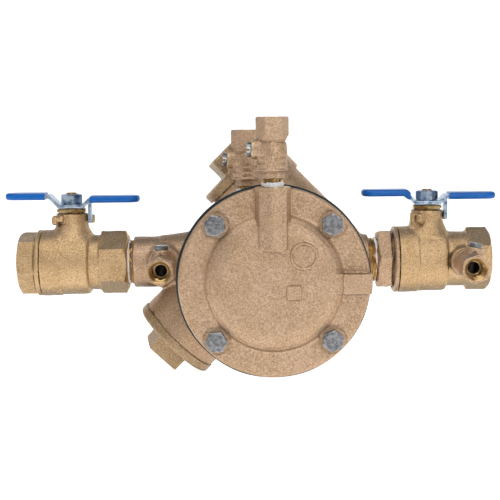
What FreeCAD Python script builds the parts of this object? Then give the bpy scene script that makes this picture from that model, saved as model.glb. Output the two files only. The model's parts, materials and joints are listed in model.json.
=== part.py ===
"""Reduced-pressure backflow preventer, 1 inch (DN 25): a bronze wye body with two spring-loaded checks, a
diaphragm relief valve on its front, a ball valve screwed on each end and four test cocks.

Water flows from +X to -X. Everything is laid out about the body: X = 0 is the body's middle, Y = Z = 0 is the
pipe axis, the relief cover faces -Y and the valve stems stand up along +Z. save() then moves each solid so that
the origin is the centre of the inlet port's mouth. All lengths are in millimetres.
"""
import FreeCAD, Part
import math
import os

V = FreeCAD.Vector
X_AXIS, Y_AXIS, Z_AXIS = V(1, 0, 0), V(0, 1, 0), V(0, 0, 1)
FRONT = V(0, -1, 0)

# ---- Driving dimensions ----
PIPE_THREAD_R = 16.70          # 1 inch taper pipe thread, outside
PIPE_PITCH_R = 15.73           # its pitch radius, which the tapped walls have
PIPE_TAP_DEPTH = 17.0
PIPE_ENGAGED = 14.5            # how far a male end is screwed in
WATERWAY_R = 12.7
COCK_THREAD_R = 6.85           # 1/4 inch taper pipe thread, outside
COCK_PITCH_R = 6.24
COCK_TAP_DEPTH = 10.0
COCK_ENGAGED = 7.0
THREAD_GAP = 0.03              # between a screwed-in end and its tapped wall
RUNNING_GAP = 0.05             # radial clearance of a shaft in its bore

# Ball valves, measured along X from the stem's axis
OUTLET_STEM_X, OUTLET_ADAPTER_END, OUTLET_NECK_END, OUTLET_HEX_END = -133.8, -39.5, 21.7, 42.3
INLET_STEM_X, INLET_ADAPTER_END, INLET_NECK_END, INLET_HEX_END = 132.9, -38.0, 29.1, 46.1
VALVE_HEX_AF = 41.0
VALVE_COLLAR, VALVE_JOINT, VALVE_SHOULDER = -26.5, -22.0, 13.5
VALVE_R, VALVE_R_DRAFTED, VALVE_NECK_R = 24.8, 23.7, 20.5
BALL_R, BALL_BORE_R, SEAT_R = 19.5, 11.5, 16.45
CAVITY_R = 20.3
STEM_R, STEM_TOP_R = 4.6, 4.0
BOSS_R, BOSS_TOP = 11.6, 37.2
STRIP, HANDLE_FLAT_Z = 2.5, 43.05
HANDLE_FLAT, HANDLE_WIDTH = 9.0, 15.0
RIGHT_WING, LEFT_WING = (49.6, 47.9), (47.6, 50.4)   # reach from the stem and height of each wing
GRIP_THICK, GRIP_PAST = 5.2, 2.4
TAB_IN, TAB_OUT, TAB_HALF, TAB_LOW = 12.5, 15.0, 4.0, 31.0

# Body, its two arms at 45 degrees and its necks
INLET_SHOULDER, OUTLET_SHOULDER, NECK_R = 88.2, -86.9, 19.05
INLET_FACE = INLET_STEM_X + INLET_HEX_END                    # the origin after save()
ARM_1_SEAT, ARM_2_SEAT = (37.7, 0.0, 25.0), (-11.7, 0.0, -13.1)   # centres of the two seats
ARM_1_WAY, ARM_2_WAY = V(-1, 0, 1).normalize(), V(-1, 0, -1).normalize()
ARM_1_R, ARM_1_RIM_R, ARM_2_R = 29.6, 32.1, 33.0
CAP_AT = 60.0                  # seat face to cap flange, along an arm
CAP_R, CAP_THICK, CAP_SQUARE, CAP_SQUARE_TALL = 33.8, 6.8, 27.0, 14.3
CAP_PLUG_R, GUIDE_R, POPPET_STEM_R = 28.0, 8.5, 5.0
CHECK_SEAT_R, CHECK_BORE_R, CHECK_DISC_R, POPPET_R = 21.0, 12.5, 15.5, 18.5

# Relief valve, along Y
RELIEF_X = 15.6
COVER_R, COVER_FRONT, COVER_BACK = 63.2, -122.0, -114.7
DOME_BASE_R, DOME_TOP_R, DOME_TALL = 45.5, 38.7, 7.5
DIAPHRAGM_BACK, FLANGE_BACK, FLANGE_R = -111.7, -102.0, 62.2
PARTITION_FRONT, PARTITION_BACK = -92.0, -87.0
BOLT_CIRCLE_R, BOLT_R, BOLT_HEAD_AF, BOLT_HEAD_TALL = 54.2, 3.95, 12.9, 5.3
RELIEF_STEM_R, RELIEF_SEAT_R, RELIEF_BORE_R = 4.0, 11.9, 9.5
SPOUT_Y, SPOUT_R, SPOUT_BORE_R, SPOUT_LOW = -68.0, 19.0, 15.5, -64.0

# Test cocks: the point on each boss's face, the way the cock points and the way its side arm points
COCK_BODY_R, COCK_HEX_AF, COCK_HEX_R, COCK_LONG, COCK_PLUG_R = 9.8, 19.6, 11.2, 45.2, 4.9
COCK_ARM_R, COCK_ARM_REACH, COCK_ARM_AT = 6.3, 13.6, 24.2
COCKS = {
    1: (V(157.4, -26.8, 0.8), FRONT, V(math.sin(math.radians(12)), 0, math.cos(math.radians(12)))),
    2: (V(15.1, -122.0, 63.1), Z_AXIS, -X_AXIS),
    3: (V(-2.0, -44.0, 53.8), Z_AXIS, -X_AXIS),
    4: (V(-63.0, -24.8, 0.8), FRONT, Z_AXIS),
}


# ---- Making and placing shapes ----
def save(name, shape):
    """Move a shape to the frame at the inlet port's mouth and write it as one node."""
    moved = shape.copy()
    moved.translate(V(-INLET_FACE, 0, 0))
    moved.exportStep("parts/%s.step" % name)


def rod(start, way, radius, length):
    """A round bar from start, along way."""
    return Part.makeCylinder(radius, length, V(start), V(way))


def turned(outline):
    """A solid of revolution about Z from points of radius and height."""
    points = [V(r, 0, z) for r, z in outline]
    return Part.Face(Part.makePolygon(points + [points[0]])).revolve(V(0, 0, 0), Z_AXIS, 360)


def prism(sides, across_flats, low, high, turn=0.0):
    """A regular prism along Z, with one flat facing turn degrees round from +X."""
    corner_r = across_flats / 2 / math.cos(math.pi / sides)
    angles = [math.radians(turn) + (2 * k + 1) * math.pi / sides for k in range(sides)]
    points = [V(corner_r * math.cos(a), corner_r * math.sin(a), low) for a in angles]
    return Part.Face(Part.makePolygon(points + [points[0]])).extrude(V(0, 0, high - low))


def chamfered_hex(across_flats, low, high, turn=0.0, low_cut=True, high_cut=True):
    """A hexagon along Z whose corners are turned off at 30 degrees at the chosen ends."""
    corner_r = across_flats / math.sqrt(3) + 0.1
    flat_r = across_flats / 2 - 0.4
    slope = (corner_r - flat_r) * math.tan(math.radians(30))
    outline = [(0, low), (flat_r if low_cut else corner_r, low), (corner_r, low + slope * low_cut),
               (corner_r, high - slope * high_cut), (flat_r if high_cut else corner_r, high), (0, high)]
    return prism(6, across_flats, low, high, turn).common(turned(outline))


def placed(shape, origin, way, side):
    """Put a shape made about Z so that its Z runs along way and its X along side."""
    z, x = V(way).normalize(), V(side).normalize()
    y = z.cross(x)
    matrix = FreeCAD.Matrix(x.x, y.x, z.x, origin.x, x.y, y.y, z.y, origin.y,
                            x.z, y.z, z.z, origin.z, 0, 0, 0, 1)
    return shape.transformed(matrix, copy=True)


def coil(mean_r, wire_r, low, high, turns):
    """A compression spring about Z, its wire just inside low and high."""
    pitch = (high - low - 2 * wire_r) / turns
    path = Part.makeHelix(pitch, pitch * turns, mean_r)
    path.translate(V(0, 0, low + wire_r))
    section = Part.Wire(Part.makeCircle(wire_r, V(mean_r, 0, low + wire_r), Y_AXIS))
    return Part.Wire(path.Edges).makePipeShell([section], True, True)


def fused(shapes):
    return shapes[0].multiFuse(shapes[1:]).removeSplitter()


# ---- Ball valves ----
def valve_casting(neck_end, hex_end, shut_stop):
    """The cast body about the stem's axis: a barrel, a neck and a hexagon along X, the stem's boss and two stops."""
    barrel = turned([(0, VALVE_JOINT), (VALVE_R, VALVE_JOINT), (VALVE_R, -8), (24.1, -7.9),
                     (VALVE_R_DRAFTED, VALVE_SHOULDER - 1.5), (VALVE_R_DRAFTED - 1.5, VALVE_SHOULDER),
                     (VALVE_NECK_R, VALVE_SHOULDER), (VALVE_NECK_R, neck_end + 0.5), (0, neck_end + 0.5)])
    end_hex = chamfered_hex(VALVE_HEX_AF, neck_end, hex_end, low_cut=False)
    along = [placed(s, V(0, 0, 0), X_AXIS, Y_AXIS) for s in (barrel, end_hex)]
    boss = turned([(0, 0), (15.4, 0), (15.4, 23.5), (BOSS_R, 29.0), (BOSS_R, BOSS_TOP), (0, BOSS_TOP)])
    open_stop = Part.makeBox(8.0, 4.6, 6.0, V(8.2, TAB_HALF + 0.4, 29.5))
    outside = fused(along + [boss, open_stop, shut_stop])
    tapped = rod((hex_end - PIPE_TAP_DEPTH, 0, 0), X_AXIS, PIPE_PITCH_R, PIPE_TAP_DEPTH + 1)
    inside = [rod((VALVE_JOINT - 1, 0, 0), X_AXIS, 21.0, 16), Part.makeSphere(CAVITY_R),
              rod((0, 0, 0), X_AXIS, SEAT_R + 0.05, 17.0), rod((0, 0, 0), X_AXIS, BALL_BORE_R + 1, hex_end),
              tapped, rod((0, 0, 14), Z_AXIS, 7.0, 9.0), rod((0, 0, 20), Z_AXIS, STEM_R + RUNNING_GAP, 20),
              rod((0, 0, 28), Z_AXIS, 7.0, 12)]
    return outside.cut(inside)


def valve_adapter(end, turn):
    """The screwed end piece that closes the barrel: hexagon, collar, and a nose that holds one seat."""
    hexagon = chamfered_hex(VALVE_HEX_AF, end, VALVE_COLLAR + 0.5, turn, high_cut=False)
    rest = turned([(0, VALVE_COLLAR), (VALVE_R - 1.4, VALVE_COLLAR), (VALVE_R, VALVE_COLLAR + 1.4),
                   (VALVE_R, VALVE_JOINT), (21.0 - THREAD_GAP, VALVE_JOINT), (21.0 - THREAD_GAP, -13),
                   (0, -13)])
    outside = placed(fused([hexagon, rest]), V(0, 0, 0), X_AXIS, Y_AXIS)
    return outside.cut([rod((end - 1, 0, 0), X_AXIS, PIPE_PITCH_R, PIPE_TAP_DEPTH + 1),
                        rod((end, 0, 0), X_AXIS, BALL_BORE_R + 1, 40),
                        rod((-17, 0, 0), X_AXIS, SEAT_R + 0.05, 10)])


def valve_seats():
    """Two plastic rings that the ball turns between."""
    ring = rod((12.8, 0, 0), X_AXIS, SEAT_R, 4.2).cut(rod((12, 0, 0), X_AXIS, BALL_BORE_R, 6))
    ring = ring.cut(Part.makeSphere(BALL_R + RUNNING_GAP))
    return Part.Compound([ring, ring.mirror(V(0, 0, 0), X_AXIS)])


def valve_ball():
    slot = Part.makeBox(16.4, 6.2, 6, V(-8.2, -3.1, 16.4))
    return Part.makeSphere(BALL_R).cut([rod((-30, 0, 0), X_AXIS, BALL_BORE_R, 60), slot])


def valve_stem():
    """A shaft with a tongue for the ball's slot, a foot that keeps it in, and a shoulder for the handle."""
    shaft = turned([(0, 19.9), (6.8, 19.9), (6.8, 22.4), (STEM_R, 22.4), (STEM_R, 41.8), (STEM_TOP_R, 41.8),
                    (STEM_TOP_R, 52.3), (STEM_TOP_R - 0.6, 52.9), (0, 52.9)])
    tongue = Part.makeBox(13.0, 6.0, 3.5, V(-6.5, -3.0, 16.5))
    return shaft.fuse(tongue.common(rod((0, 0, 16), Z_AXIS, 6.8, 5))).removeSplitter()


def stem_packing():
    return rod((0, 0, 28), Z_AXIS, 6.95, 5.5).cut(rod((0, 0, 27), Z_AXIS, STEM_R + RUNNING_GAP, 8))


def packing_nut():
    """A thin hexagon with a screwed skirt that presses on the packing."""
    skirt = rod((0, 0, 33.5), Z_AXIS, 6.95, 5)
    return skirt.fuse(chamfered_hex(21.0, 38.1, 41.0)).cut(rod((0, 0, 33), Z_AXIS, STEM_R + RUNNING_GAP, 9))


def strip_outline(x_in, x_out, wing_z, thickness):
    """The side view of one wing between two distances from the stem: a flat, a 45-degree slope, a raised flat."""
    half, rise_to = thickness / 2, HANDLE_FLAT + wing_z - HANDLE_FLAT_Z
    mitre = half * math.tan(math.radians(22.5))
    over = [(0, HANDLE_FLAT_Z + half), (HANDLE_FLAT - mitre, HANDLE_FLAT_Z + half),
            (rise_to - mitre, wing_z + half), (x_out, wing_z + half)]
    under = [(x_out, wing_z - half), (rise_to + mitre, wing_z - half),
             (HANDLE_FLAT + mitre, HANDLE_FLAT_Z - half), (0, HANDLE_FLAT_Z - half)]
    points = [V(x, -20, z) for x, z in over + under]
    sheet = Part.Face(Part.makePolygon(points + [points[0]])).extrude(V(0, 40, 0))
    return sheet.common(Part.makeBox(x_out - x_in, 40, 60, V(x_in, -20, 10)))


def wing_plan(x_in, x_out, width):
    """The top view of one wing: straight sides and a half-round end."""
    half = width / 2
    return fused([Part.makeBox(x_out - half - x_in, width, 60, V(x_in, -half, 10)),
                  rod((x_out - half, 0, 10), Z_AXIS, half, 60)])


def steel_wing(reach, wing_z):
    """One bare wing on the +X side."""
    return strip_outline(0, reach, wing_z, STRIP).common(wing_plan(0, reach, HANDLE_WIDTH))


def handle_tab():
    return Part.makeBox(TAB_OUT - TAB_IN, 2 * TAB_HALF, RIGHT_WING[1] - TAB_LOW - 1.5,
                        V(TAB_IN, -TAB_HALF, TAB_LOW))


def valve_handle():
    """A bent steel strip with two raised wings, its stem hole and the tab that meets the stops."""
    hub = Part.makeBox(2 * HANDLE_FLAT, 19.0, STRIP, V(-HANDLE_FLAT, -9.5, HANDLE_FLAT_Z - STRIP / 2))
    left = steel_wing(*LEFT_WING).mirror(V(0, 0, 0), X_AXIS)
    whole = fused([steel_wing(*RIGHT_WING), left, hub, handle_tab()])
    return whole.cut(rod((0, 0, 30), Z_AXIS, STEM_TOP_R + 0.02, 20))


def handle_grips(left_from, right_from):
    """Two dipped vinyl sleeves over the wings, each starting at its own distance from the stem."""
    def sleeve(x_from, reach, wing_z):
        tip = reach + GRIP_PAST
        skin = strip_outline(x_from, tip, wing_z, GRIP_THICK)
        skin = skin.common(wing_plan(x_from, tip, HANDLE_WIDTH + GRIP_THICK - STRIP))
        return skin.cut([steel_wing(reach, wing_z)])
    right = sleeve(right_from, *RIGHT_WING).cut(handle_tab())
    return Part.Compound([right, sleeve(left_from, *LEFT_WING).mirror(V(0, 0, 0), X_AXIS)])


def handle_nut():
    return chamfered_hex(14.3, 44.4, 51.9, turn=20).cut(rod((0, 0, 40), Z_AXIS, STEM_TOP_R + 0.02, 20))


def save_valve(name, stem_x, adapter, neck_end, hex_end, shut_stop, grips_from, extra=None, bores=None):
    """All the pieces of one ball valve, moved to its place on the pipe."""
    at = V(stem_x, 0, 0)
    casting = valve_casting(neck_end, hex_end, shut_stop)
    casting.translate(at)
    if extra:
        casting = casting.fuse(extra.cut(rod((stem_x, 0, 0), X_AXIS, VALVE_NECK_R - 1, 60))).cut(bores)
    save(name + "_valve_body", casting.removeSplitter())
    pieces = {"valve_adapter": valve_adapter(*adapter), "valve_seats": valve_seats(),
              "valve_ball": valve_ball(), "valve_stem": valve_stem(), "stem_packing": stem_packing(),
              "packing_nut": packing_nut(), "handle": valve_handle(), "handle_grips": handle_grips(*grips_from),
              "handle_nut": handle_nut()}
    for piece, shape in pieces.items():
        shape.translate(at)
        save("%s_%s" % (name, piece), shape)


# ---- Test cocks ----
def cock_body():
    """A small bronze cock along Z from its boss's face: screwed end, hexagon, barrel with a side arm, hex end."""
    top, barrel_low, hex_low = COCK_LONG, 10.3, COCK_LONG - 13.4
    stem = turned([(0, -COCK_ENGAGED), (COCK_PITCH_R - THREAD_GAP, -COCK_ENGAGED),
                   (COCK_PITCH_R - THREAD_GAP, 0), (COCK_THREAD_R, 0), (COCK_THREAD_R, 6.2), (0, 6.2)])
    barrel = turned([(0, barrel_low), (COCK_BODY_R, barrel_low), (COCK_BODY_R, hex_low - 1.6), (9.0, hex_low - 1),
                     (9.0, hex_low), (COCK_HEX_AF / 2, hex_low + 3.2), (0, hex_low + 3.2)])
    mouth = prism(6, COCK_HEX_AF, hex_low + 3, top, 30).common(
        turned([(0, 20), (9.0, 20), (9.4, hex_low + 3), (COCK_HEX_R, hex_low + 4.6), (COCK_HEX_R, top - 0.8),
                (COCK_HEX_R - 1.2, top), (0, top)]))
    arm = rod((0, 0, COCK_ARM_AT), X_AXIS, COCK_ARM_R, COCK_ARM_REACH)
    outside = fused([stem, prism(6, 14.0, 6.0, barrel_low + 0.2, 30), barrel, mouth, arm])
    inside = [rod((0, 0, -COCK_ENGAGED - 1), Z_AXIS, 3.0, 40), rod((0, 0, 12), Z_AXIS, 4.35, 40),
              rod((0, 0, top - COCK_TAP_DEPTH), Z_AXIS, COCK_PITCH_R, COCK_TAP_DEPTH + 1),
              rod((-7.0, 0, COCK_ARM_AT), X_AXIS, COCK_PLUG_R + RUNNING_GAP, 30)]
    return outside.cut(inside)


def cock_plug():
    """The turning plug: a steel cylinder across the cock with a cross hole, and a slot in its outer end."""
    plug = rod((-6.7, 0, COCK_ARM_AT), X_AXIS, COCK_PLUG_R, 6.7 + COCK_ARM_REACH + 3.2)
    end = COCK_ARM_REACH + 3.2
    slot = Part.makeBox(2.0, 1.6, 20, V(end - 2.0, -0.8, COCK_ARM_AT - 10))
    slot.rotate(V(0, 0, COCK_ARM_AT), X_AXIS, 90)
    return plug.cut([slot, rod((0, -10, COCK_ARM_AT), Y_AXIS, 3.0, 20)])


def cock_boss_bores(number, deep):
    """The tapped hole and the drilled way behind it, for one cock."""
    face, way, _ = COCKS[number]
    back = V(way).multiply(-1)
    return [rod(face + V(way), back, COCK_PITCH_R, COCK_TAP_DEPTH + 1), rod(face, back, 3.0, deep)]


# ---- Body ----
def bolt_places():
    """The four bolt centres about the relief valve's axis."""
    return [(RELIEF_X + BOLT_CIRCLE_R * math.cos(a), BOLT_CIRCLE_R * math.sin(a))
            for a in (math.radians(45 + 90 * k) for k in range(4))]


def main_body():
    """The one-piece casting: two necks, two arms, the relief bowl with its flange, four bosses and a spout."""
    seat_1, seat_2 = V(*ARM_1_SEAT), V(*ARM_2_SEAT)
    relief = V(RELIEF_X, 0, 0)
    bowl = turned([(0, 25), (34, 25), (34, 76), (47, 90), (47, -FLANGE_BACK - 0.5), (FLANGE_R, -FLANGE_BACK - 0.5),
                   (FLANGE_R, -DIAPHRAGM_BACK), (0, -DIAPHRAGM_BACK)])
    solids = [
        rod((48, 0, 0), X_AXIS, NECK_R, INLET_SHOULDER - 48),
        rod((80, 0, 0), X_AXIS, PIPE_THREAD_R, 94.4 - 80),
        rod((80, 0, 0), X_AXIS, PIPE_PITCH_R - THREAD_GAP, 94.9 + PIPE_ENGAGED - 80),
        rod((OUTLET_SHOULDER, 0, 0), X_AXIS, NECK_R, 50),
        Part.makeCone(NECK_R, 21.6, 12, V(-62, 0, 0), X_AXIS), rod((-50, 0, 0), X_AXIS, 21.6, 30),
        rod((-91.0, 0, 0), X_AXIS, PIPE_THREAD_R, 8),
        rod((-91.5 - PIPE_ENGAGED, 0, 0), X_AXIS, PIPE_PITCH_R - THREAD_GAP, 30),
        rod(seat_1 - ARM_1_WAY * 26, ARM_1_WAY, ARM_1_R, CAP_AT + 26),
        Part.makeSphere(ARM_1_R, seat_1 - ARM_1_WAY * 26),
        rod(seat_1 + ARM_1_WAY * 34, ARM_1_WAY, ARM_1_RIM_R, CAP_AT - 34),
        rod(seat_2 - ARM_2_WAY * 42, ARM_2_WAY, ARM_2_R, CAP_AT + 42),
        placed(bowl, relief, FRONT, X_AXIS),
        rod((RELIEF_X, SPOUT_Y, SPOUT_LOW), Z_AXIS, SPOUT_R, 50),
        rod((RELIEF_X + BOLT_CIRCLE_R, -12, 0), FRONT, 6.5, -FLANGE_BACK - 12),
        rod((-63, -5, 0.8), FRONT, 12.6, 19.8),
        rod((-2, -44, 10), Z_AXIS, 10.0, 43.8),
        rod((-2, -26, 36), FRONT, 9.0, 18),
    ]
    solids += [rod((x, FLANGE_BACK + 10, z), FRONT, 8.0, 12) for x, z in bolt_places()]
    outside = fused(solids)
    transfer = ARM_1_WAY * 20.5 + seat_1
    bores = [
        rod((60, 0, 0), X_AXIS, WATERWAY_R, 60), rod((-110, 0, 0), X_AXIS, WATERWAY_R, 68),
        rod(seat_1 - ARM_1_WAY * 36, ARM_1_WAY, 17.0, 33), Part.makeSphere(17.0, seat_1 - ARM_1_WAY * 33),
        rod(seat_1 - ARM_1_WAY * 4, ARM_1_WAY, CHECK_SEAT_R, 5), rod(seat_1, ARM_1_WAY, 25.6, 61),
        rod(transfer, ARM_2_WAY, 12.0, 42),
        rod(seat_2 - ARM_2_WAY * 27, ARM_2_WAY, 17.0, 24),
        rod(seat_2 - ARM_2_WAY * 4, ARM_2_WAY, CHECK_SEAT_R, 5), rod(seat_2, ARM_2_WAY, 28.0, 61),
        rod((RELIEF_X, PARTITION_FRONT, 0), FRONT, 44.0, 30),
        rod((RELIEF_X, PARTITION_BACK + 1, 0), FRONT, RELIEF_SEAT_R, 8),
        rod((RELIEF_X, -62, 0), FRONT, 22.0, -62 - PARTITION_BACK),
        rod((RELIEF_X, -48, 0), FRONT, 7.0, 20),
        rod((RELIEF_X, SPOUT_Y, SPOUT_LOW - 1), Z_AXIS, SPOUT_BORE_R, 36),
        rod((RELIEF_X, SPOUT_Y, SPOUT_LOW + 34), Z_AXIS, 17.0, 25),
        rod((8, -8, 27.5), FRONT, 4.5, 90), rod((-4, -44, 27.5), X_AXIS, 3.0, 12),
        rod((RELIEF_X + BOLT_CIRCLE_R, -8, 0), FRONT, 2.5, 110),
    ]
    for seat, way in ((seat_1, ARM_1_WAY), (seat_2, ARM_2_WAY)):
        bores.append(rod(seat + way * 48, way, CAP_PLUG_R + THREAD_GAP, 13))
        bores.append(rod(seat + way * (CAP_AT - 2.6), way, 30.6, 4))
    bores += [rod((x, -96, z), FRONT, BOLT_R + THREAD_GAP, 20) for x, z in bolt_places()]
    bores += cock_boss_bores(3, 26) + cock_boss_bores(4, 20)
    return outside.cut(bores)


# ---- Check valves, about Z from the seat's face ----
def check_seat():
    return rod((0, 0, -4), Z_AXIS, CHECK_SEAT_R - THREAD_GAP, 4).cut(rod((0, 0, -5), Z_AXIS, CHECK_BORE_R, 6))


def check_cap():
    """A screwed cap: square for the wrench, flange, hollow plug, and the guide for the poppet's stem."""
    guide_low, guide_high = 36.0, CAP_AT - 4
    round_part = turned([(POPPET_STEM_R + RUNNING_GAP, guide_low), (GUIDE_R, guide_low), (GUIDE_R, CAP_AT - 1),
                         (24.0, CAP_AT - 1), (24.0, 49.0), (CAP_PLUG_R, 49.0), (CAP_PLUG_R, CAP_AT),
                         (CAP_R, CAP_AT), (CAP_R, CAP_AT + CAP_THICK - 1), (CAP_R - 1, CAP_AT + CAP_THICK),
                         (0, CAP_AT + CAP_THICK), (0, guide_high), (POPPET_STEM_R + RUNNING_GAP, guide_high)])
    top = CAP_AT + CAP_THICK + CAP_SQUARE_TALL
    return round_part.fuse(prism(4, CAP_SQUARE, CAP_AT + CAP_THICK - 1, top)).removeSplitter()


def cap_o_ring():
    return Part.makeTorus(29.35, 1.25, V(0, 0, CAP_AT - 1.3), Z_AXIS)


def check_poppet():
    """The moving disc holder with its guide stem."""
    body = turned([(0, 1.2), (POPPET_R, 1.2), (POPPET_R, 7.5), (POPPET_R - 1.5, 9), (POPPET_STEM_R, 9),
                   (POPPET_STEM_R, 44.0), (0, 44.0)])
    return body.cut([rod((0, 0, 0), Z_AXIS, CHECK_DISC_R + 0.02, 3.2), rod((0, 0, 0), Z_AXIS, 3.02, 9)])


def check_disc():
    return rod((0, 0, 0.1), Z_AXIS, CHECK_DISC_R, 3.1).cut(rod((0, 0, 0), Z_AXIS, 3.02, 4))


def disc_screw():
    """The washer-headed screw that holds the rubber disc in the poppet."""
    washer, head = rod((0, 0, -1.4), Z_AXIS, 8.0, 1.5), prism(6, 9.0, -5.0, -1.3)
    return fused([washer, head, rod((0, 0, -2), Z_AXIS, 3.0, 10.5)])


def save_check(name, seat, way, cap_turn):
    """All the pieces of one check valve, set along its arm, its square turned a little from the front."""
    pieces = {"check_seat": check_seat(), "check_cap": check_cap(), "cap_o_ring": cap_o_ring(),
              "check_poppet": check_poppet(), "check_disc": check_disc(), "disc_screw": disc_screw(),
              "check_spring": coil(12.5, 1.3, 9.0, CAP_AT - 1, 7)}
    turn = math.radians(cap_turn)
    flat_way = FRONT * math.cos(turn) + V(way).cross(FRONT) * math.sin(turn)
    for piece, shape in pieces.items():
        save("%s_%s" % (name, piece), placed(shape, V(*seat), way, flat_way))


# ---- Relief valve, about Z with the cover's front towards +Z ----
def depth(y):
    """Height above the pipe's plane, towards the front, of a place on Y."""
    return -y


def relief_cover():
    """A domed cast cover with a rim flange, four spotfaces, a test-cock boss and a passage pad."""
    front, back = depth(COVER_FRONT), depth(COVER_BACK)
    shell = turned([(0, back), (COVER_R, back), (COVER_R, front - 1), (COVER_R - 1, front), (DOME_BASE_R, front),
                    (DOME_TOP_R, front + DOME_TALL), (0, front + DOME_TALL)])
    boss_x, boss_r, boss_low = COCKS[2][0].x - RELIEF_X, 11.7, 22.0
    rim = rod((0, 0, back), Z_AXIS, COVER_R + 0.8, 40)
    boss = rod((boss_x, boss_low, front), Y_AXIS, boss_r, 50).common(rim)
    pad = Part.makeBox(18.4, 13.4, DOME_TALL + 1, V(45.0, -7.2, front - 1)).common(
        rod((0, 0, back), Z_AXIS, COVER_R, 40))
    marks = [Part.makeTorus(7.6, 0.9, V(19.4, 18.1, front + DOME_TALL), Z_AXIS),
             Part.makeBox(8.7, 8.7, 1.6, V(8.4, -10.2, front + DOME_TALL - 0.8))]
    outside = fused([shell, boss, pad] + marks)
    cavity = turned([(0, back - 1), (40, back - 1), (40, back + 3.8), (34, front + 4), (0, front + 4)])
    cuts = [cavity, rod((BOLT_CIRCLE_R, 0, back - 1), Z_AXIS, 2.5, 9.3),
            rod((33, 0, front - 0.5), X_AXIS, 2.5, BOLT_CIRCLE_R - 31)]
    face = COCKS[2][0].z
    cuts += [rod((boss_x, face - COCK_TAP_DEPTH - 1, front), Y_AXIS, COCK_PITCH_R, 20),
             rod((boss_x, 30, front), Y_AXIS, 3.0, 30), rod((boss_x, face, front), Y_AXIS, boss_r + 1, 5)]
    for x, z in bolt_places():
        cuts += [rod((x - RELIEF_X, z, back - 1), Z_AXIS, BOLT_R + 0.3, 30),
                 rod((x - RELIEF_X, z, front), Z_AXIS, 9.2, 20)]
    return outside.cut(cuts)


def relief_diaphragm():
    """The flat rubber disc clamped between cover and flange, its edge standing a little proud."""
    disc = rod((-0.8, 0, depth(DIAPHRAGM_BACK)), Z_AXIS, COVER_R + 0.9, depth(COVER_BACK) - depth(DIAPHRAGM_BACK))
    holes = [rod((0, 0, 100), Z_AXIS, RELIEF_STEM_R + RUNNING_GAP, 30), rod((BOLT_CIRCLE_R, 0, 100), Z_AXIS, 2.6, 30)]
    holes += [rod((x - RELIEF_X, z, 100), Z_AXIS, BOLT_R + 0.3, 30) for x, z in bolt_places()]
    return disc.cut(holes)


def cover_bolts():
    front = depth(COVER_FRONT)
    bolts = []
    for number, (x, z) in enumerate(bolt_places()):
        head = chamfered_hex(BOLT_HEAD_AF, front, front + BOLT_HEAD_TALL, turn=17 * number, low_cut=False)
        bolt = head.fuse(rod((0, 0, front - 25), Z_AXIS, BOLT_R, 26)).removeSplitter()
        bolt.translate(V(x - RELIEF_X, z, 0))
        bolts.append(bolt)
    return Part.Compound(bolts)


def relief_stem():
    """The valve spindle: screwed front end, shoulder for the plates, and a long tail in the guide bush."""
    return fused([rod((0, 0, 56), Z_AXIS, RELIEF_STEM_R, 67.0), rod((0, 0, 105), Z_AXIS, 6.5, 4.2)])


def relief_ring(outer_r, low, high, bore_r=RELIEF_STEM_R + 0.02):
    return rod((0, 0, low), Z_AXIS, outer_r, high - low).cut(rod((0, 0, low - 1), Z_AXIS, bore_r, high - low + 2))


def relief_seat():
    back, front = depth(PARTITION_BACK), depth(PARTITION_FRONT)
    return turned([(RELIEF_BORE_R, back), (RELIEF_SEAT_R - THREAD_GAP, back), (RELIEF_SEAT_R - THREAD_GAP, front),
                   (14.5, front), (14.5, front + 1.6), (RELIEF_BORE_R, front + 1.6)])


def save_relief():
    """All the pieces of the relief valve, set on its axis with the front towards -Y."""
    back_plate_low = depth(DIAPHRAGM_BACK) - 2.5
    front_plate_low = depth(COVER_BACK)
    nut = chamfered_hex(13.0, front_plate_low + 2.5, front_plate_low + 6.5).cut(
        rod((0, 0, front_plate_low), Z_AXIS, RELIEF_STEM_R + 0.02, 20))
    lock_nut = chamfered_hex(11.0, 95.0, 98.5).cut(rod((0, 0, 90), Z_AXIS, RELIEF_STEM_R + 0.02, 20))
    pieces = {"relief_cover": relief_cover(), "relief_diaphragm": relief_diaphragm(),
              "cover_bolts": cover_bolts(), "relief_stem": relief_stem(), "relief_seat": relief_seat(),
              "diaphragm_front_plate": relief_ring(30.0, front_plate_low, front_plate_low + 2.5),
              "diaphragm_back_plate": relief_ring(28.0, back_plate_low, back_plate_low + 2.5),
              "diaphragm_nut": nut, "relief_disc": relief_ring(13.0, 98.5, 101.5),
              "relief_disc_holder": relief_ring(14.0, 101.5, 105.0), "relief_disc_nut": lock_nut,
              "relief_guide_bush": relief_ring(6.97, 52.0, 64.0, RELIEF_STEM_R + RUNNING_GAP),
              "relief_spring": coil(18.0, 1.25, depth(PARTITION_FRONT), back_plate_low, 3)}
    for piece, shape in pieces.items():
        save(piece, placed(shape, V(RELIEF_X, 0, 0), FRONT, X_AXIS))


# ---- Sealing tape: a thin band on each screwed end ----
def band(start, way, radius, length, thick=0.45):
    return rod(start, way, radius + thick, length).cut(rod(start, way, radius + 0.02, length))


def thread_tape():
    bands = [band(face + V(way) * 0.3, way, COCK_THREAD_R, 4.2) for face, way, _ in COCKS.values()]
    bands += [band(V(92.8, 0, 0), X_AXIS, PIPE_THREAD_R, 1.5), band(V(-90.9, 0, 0), X_AXIS, PIPE_THREAD_R, 1.5)]
    return Part.Compound(bands)


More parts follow.
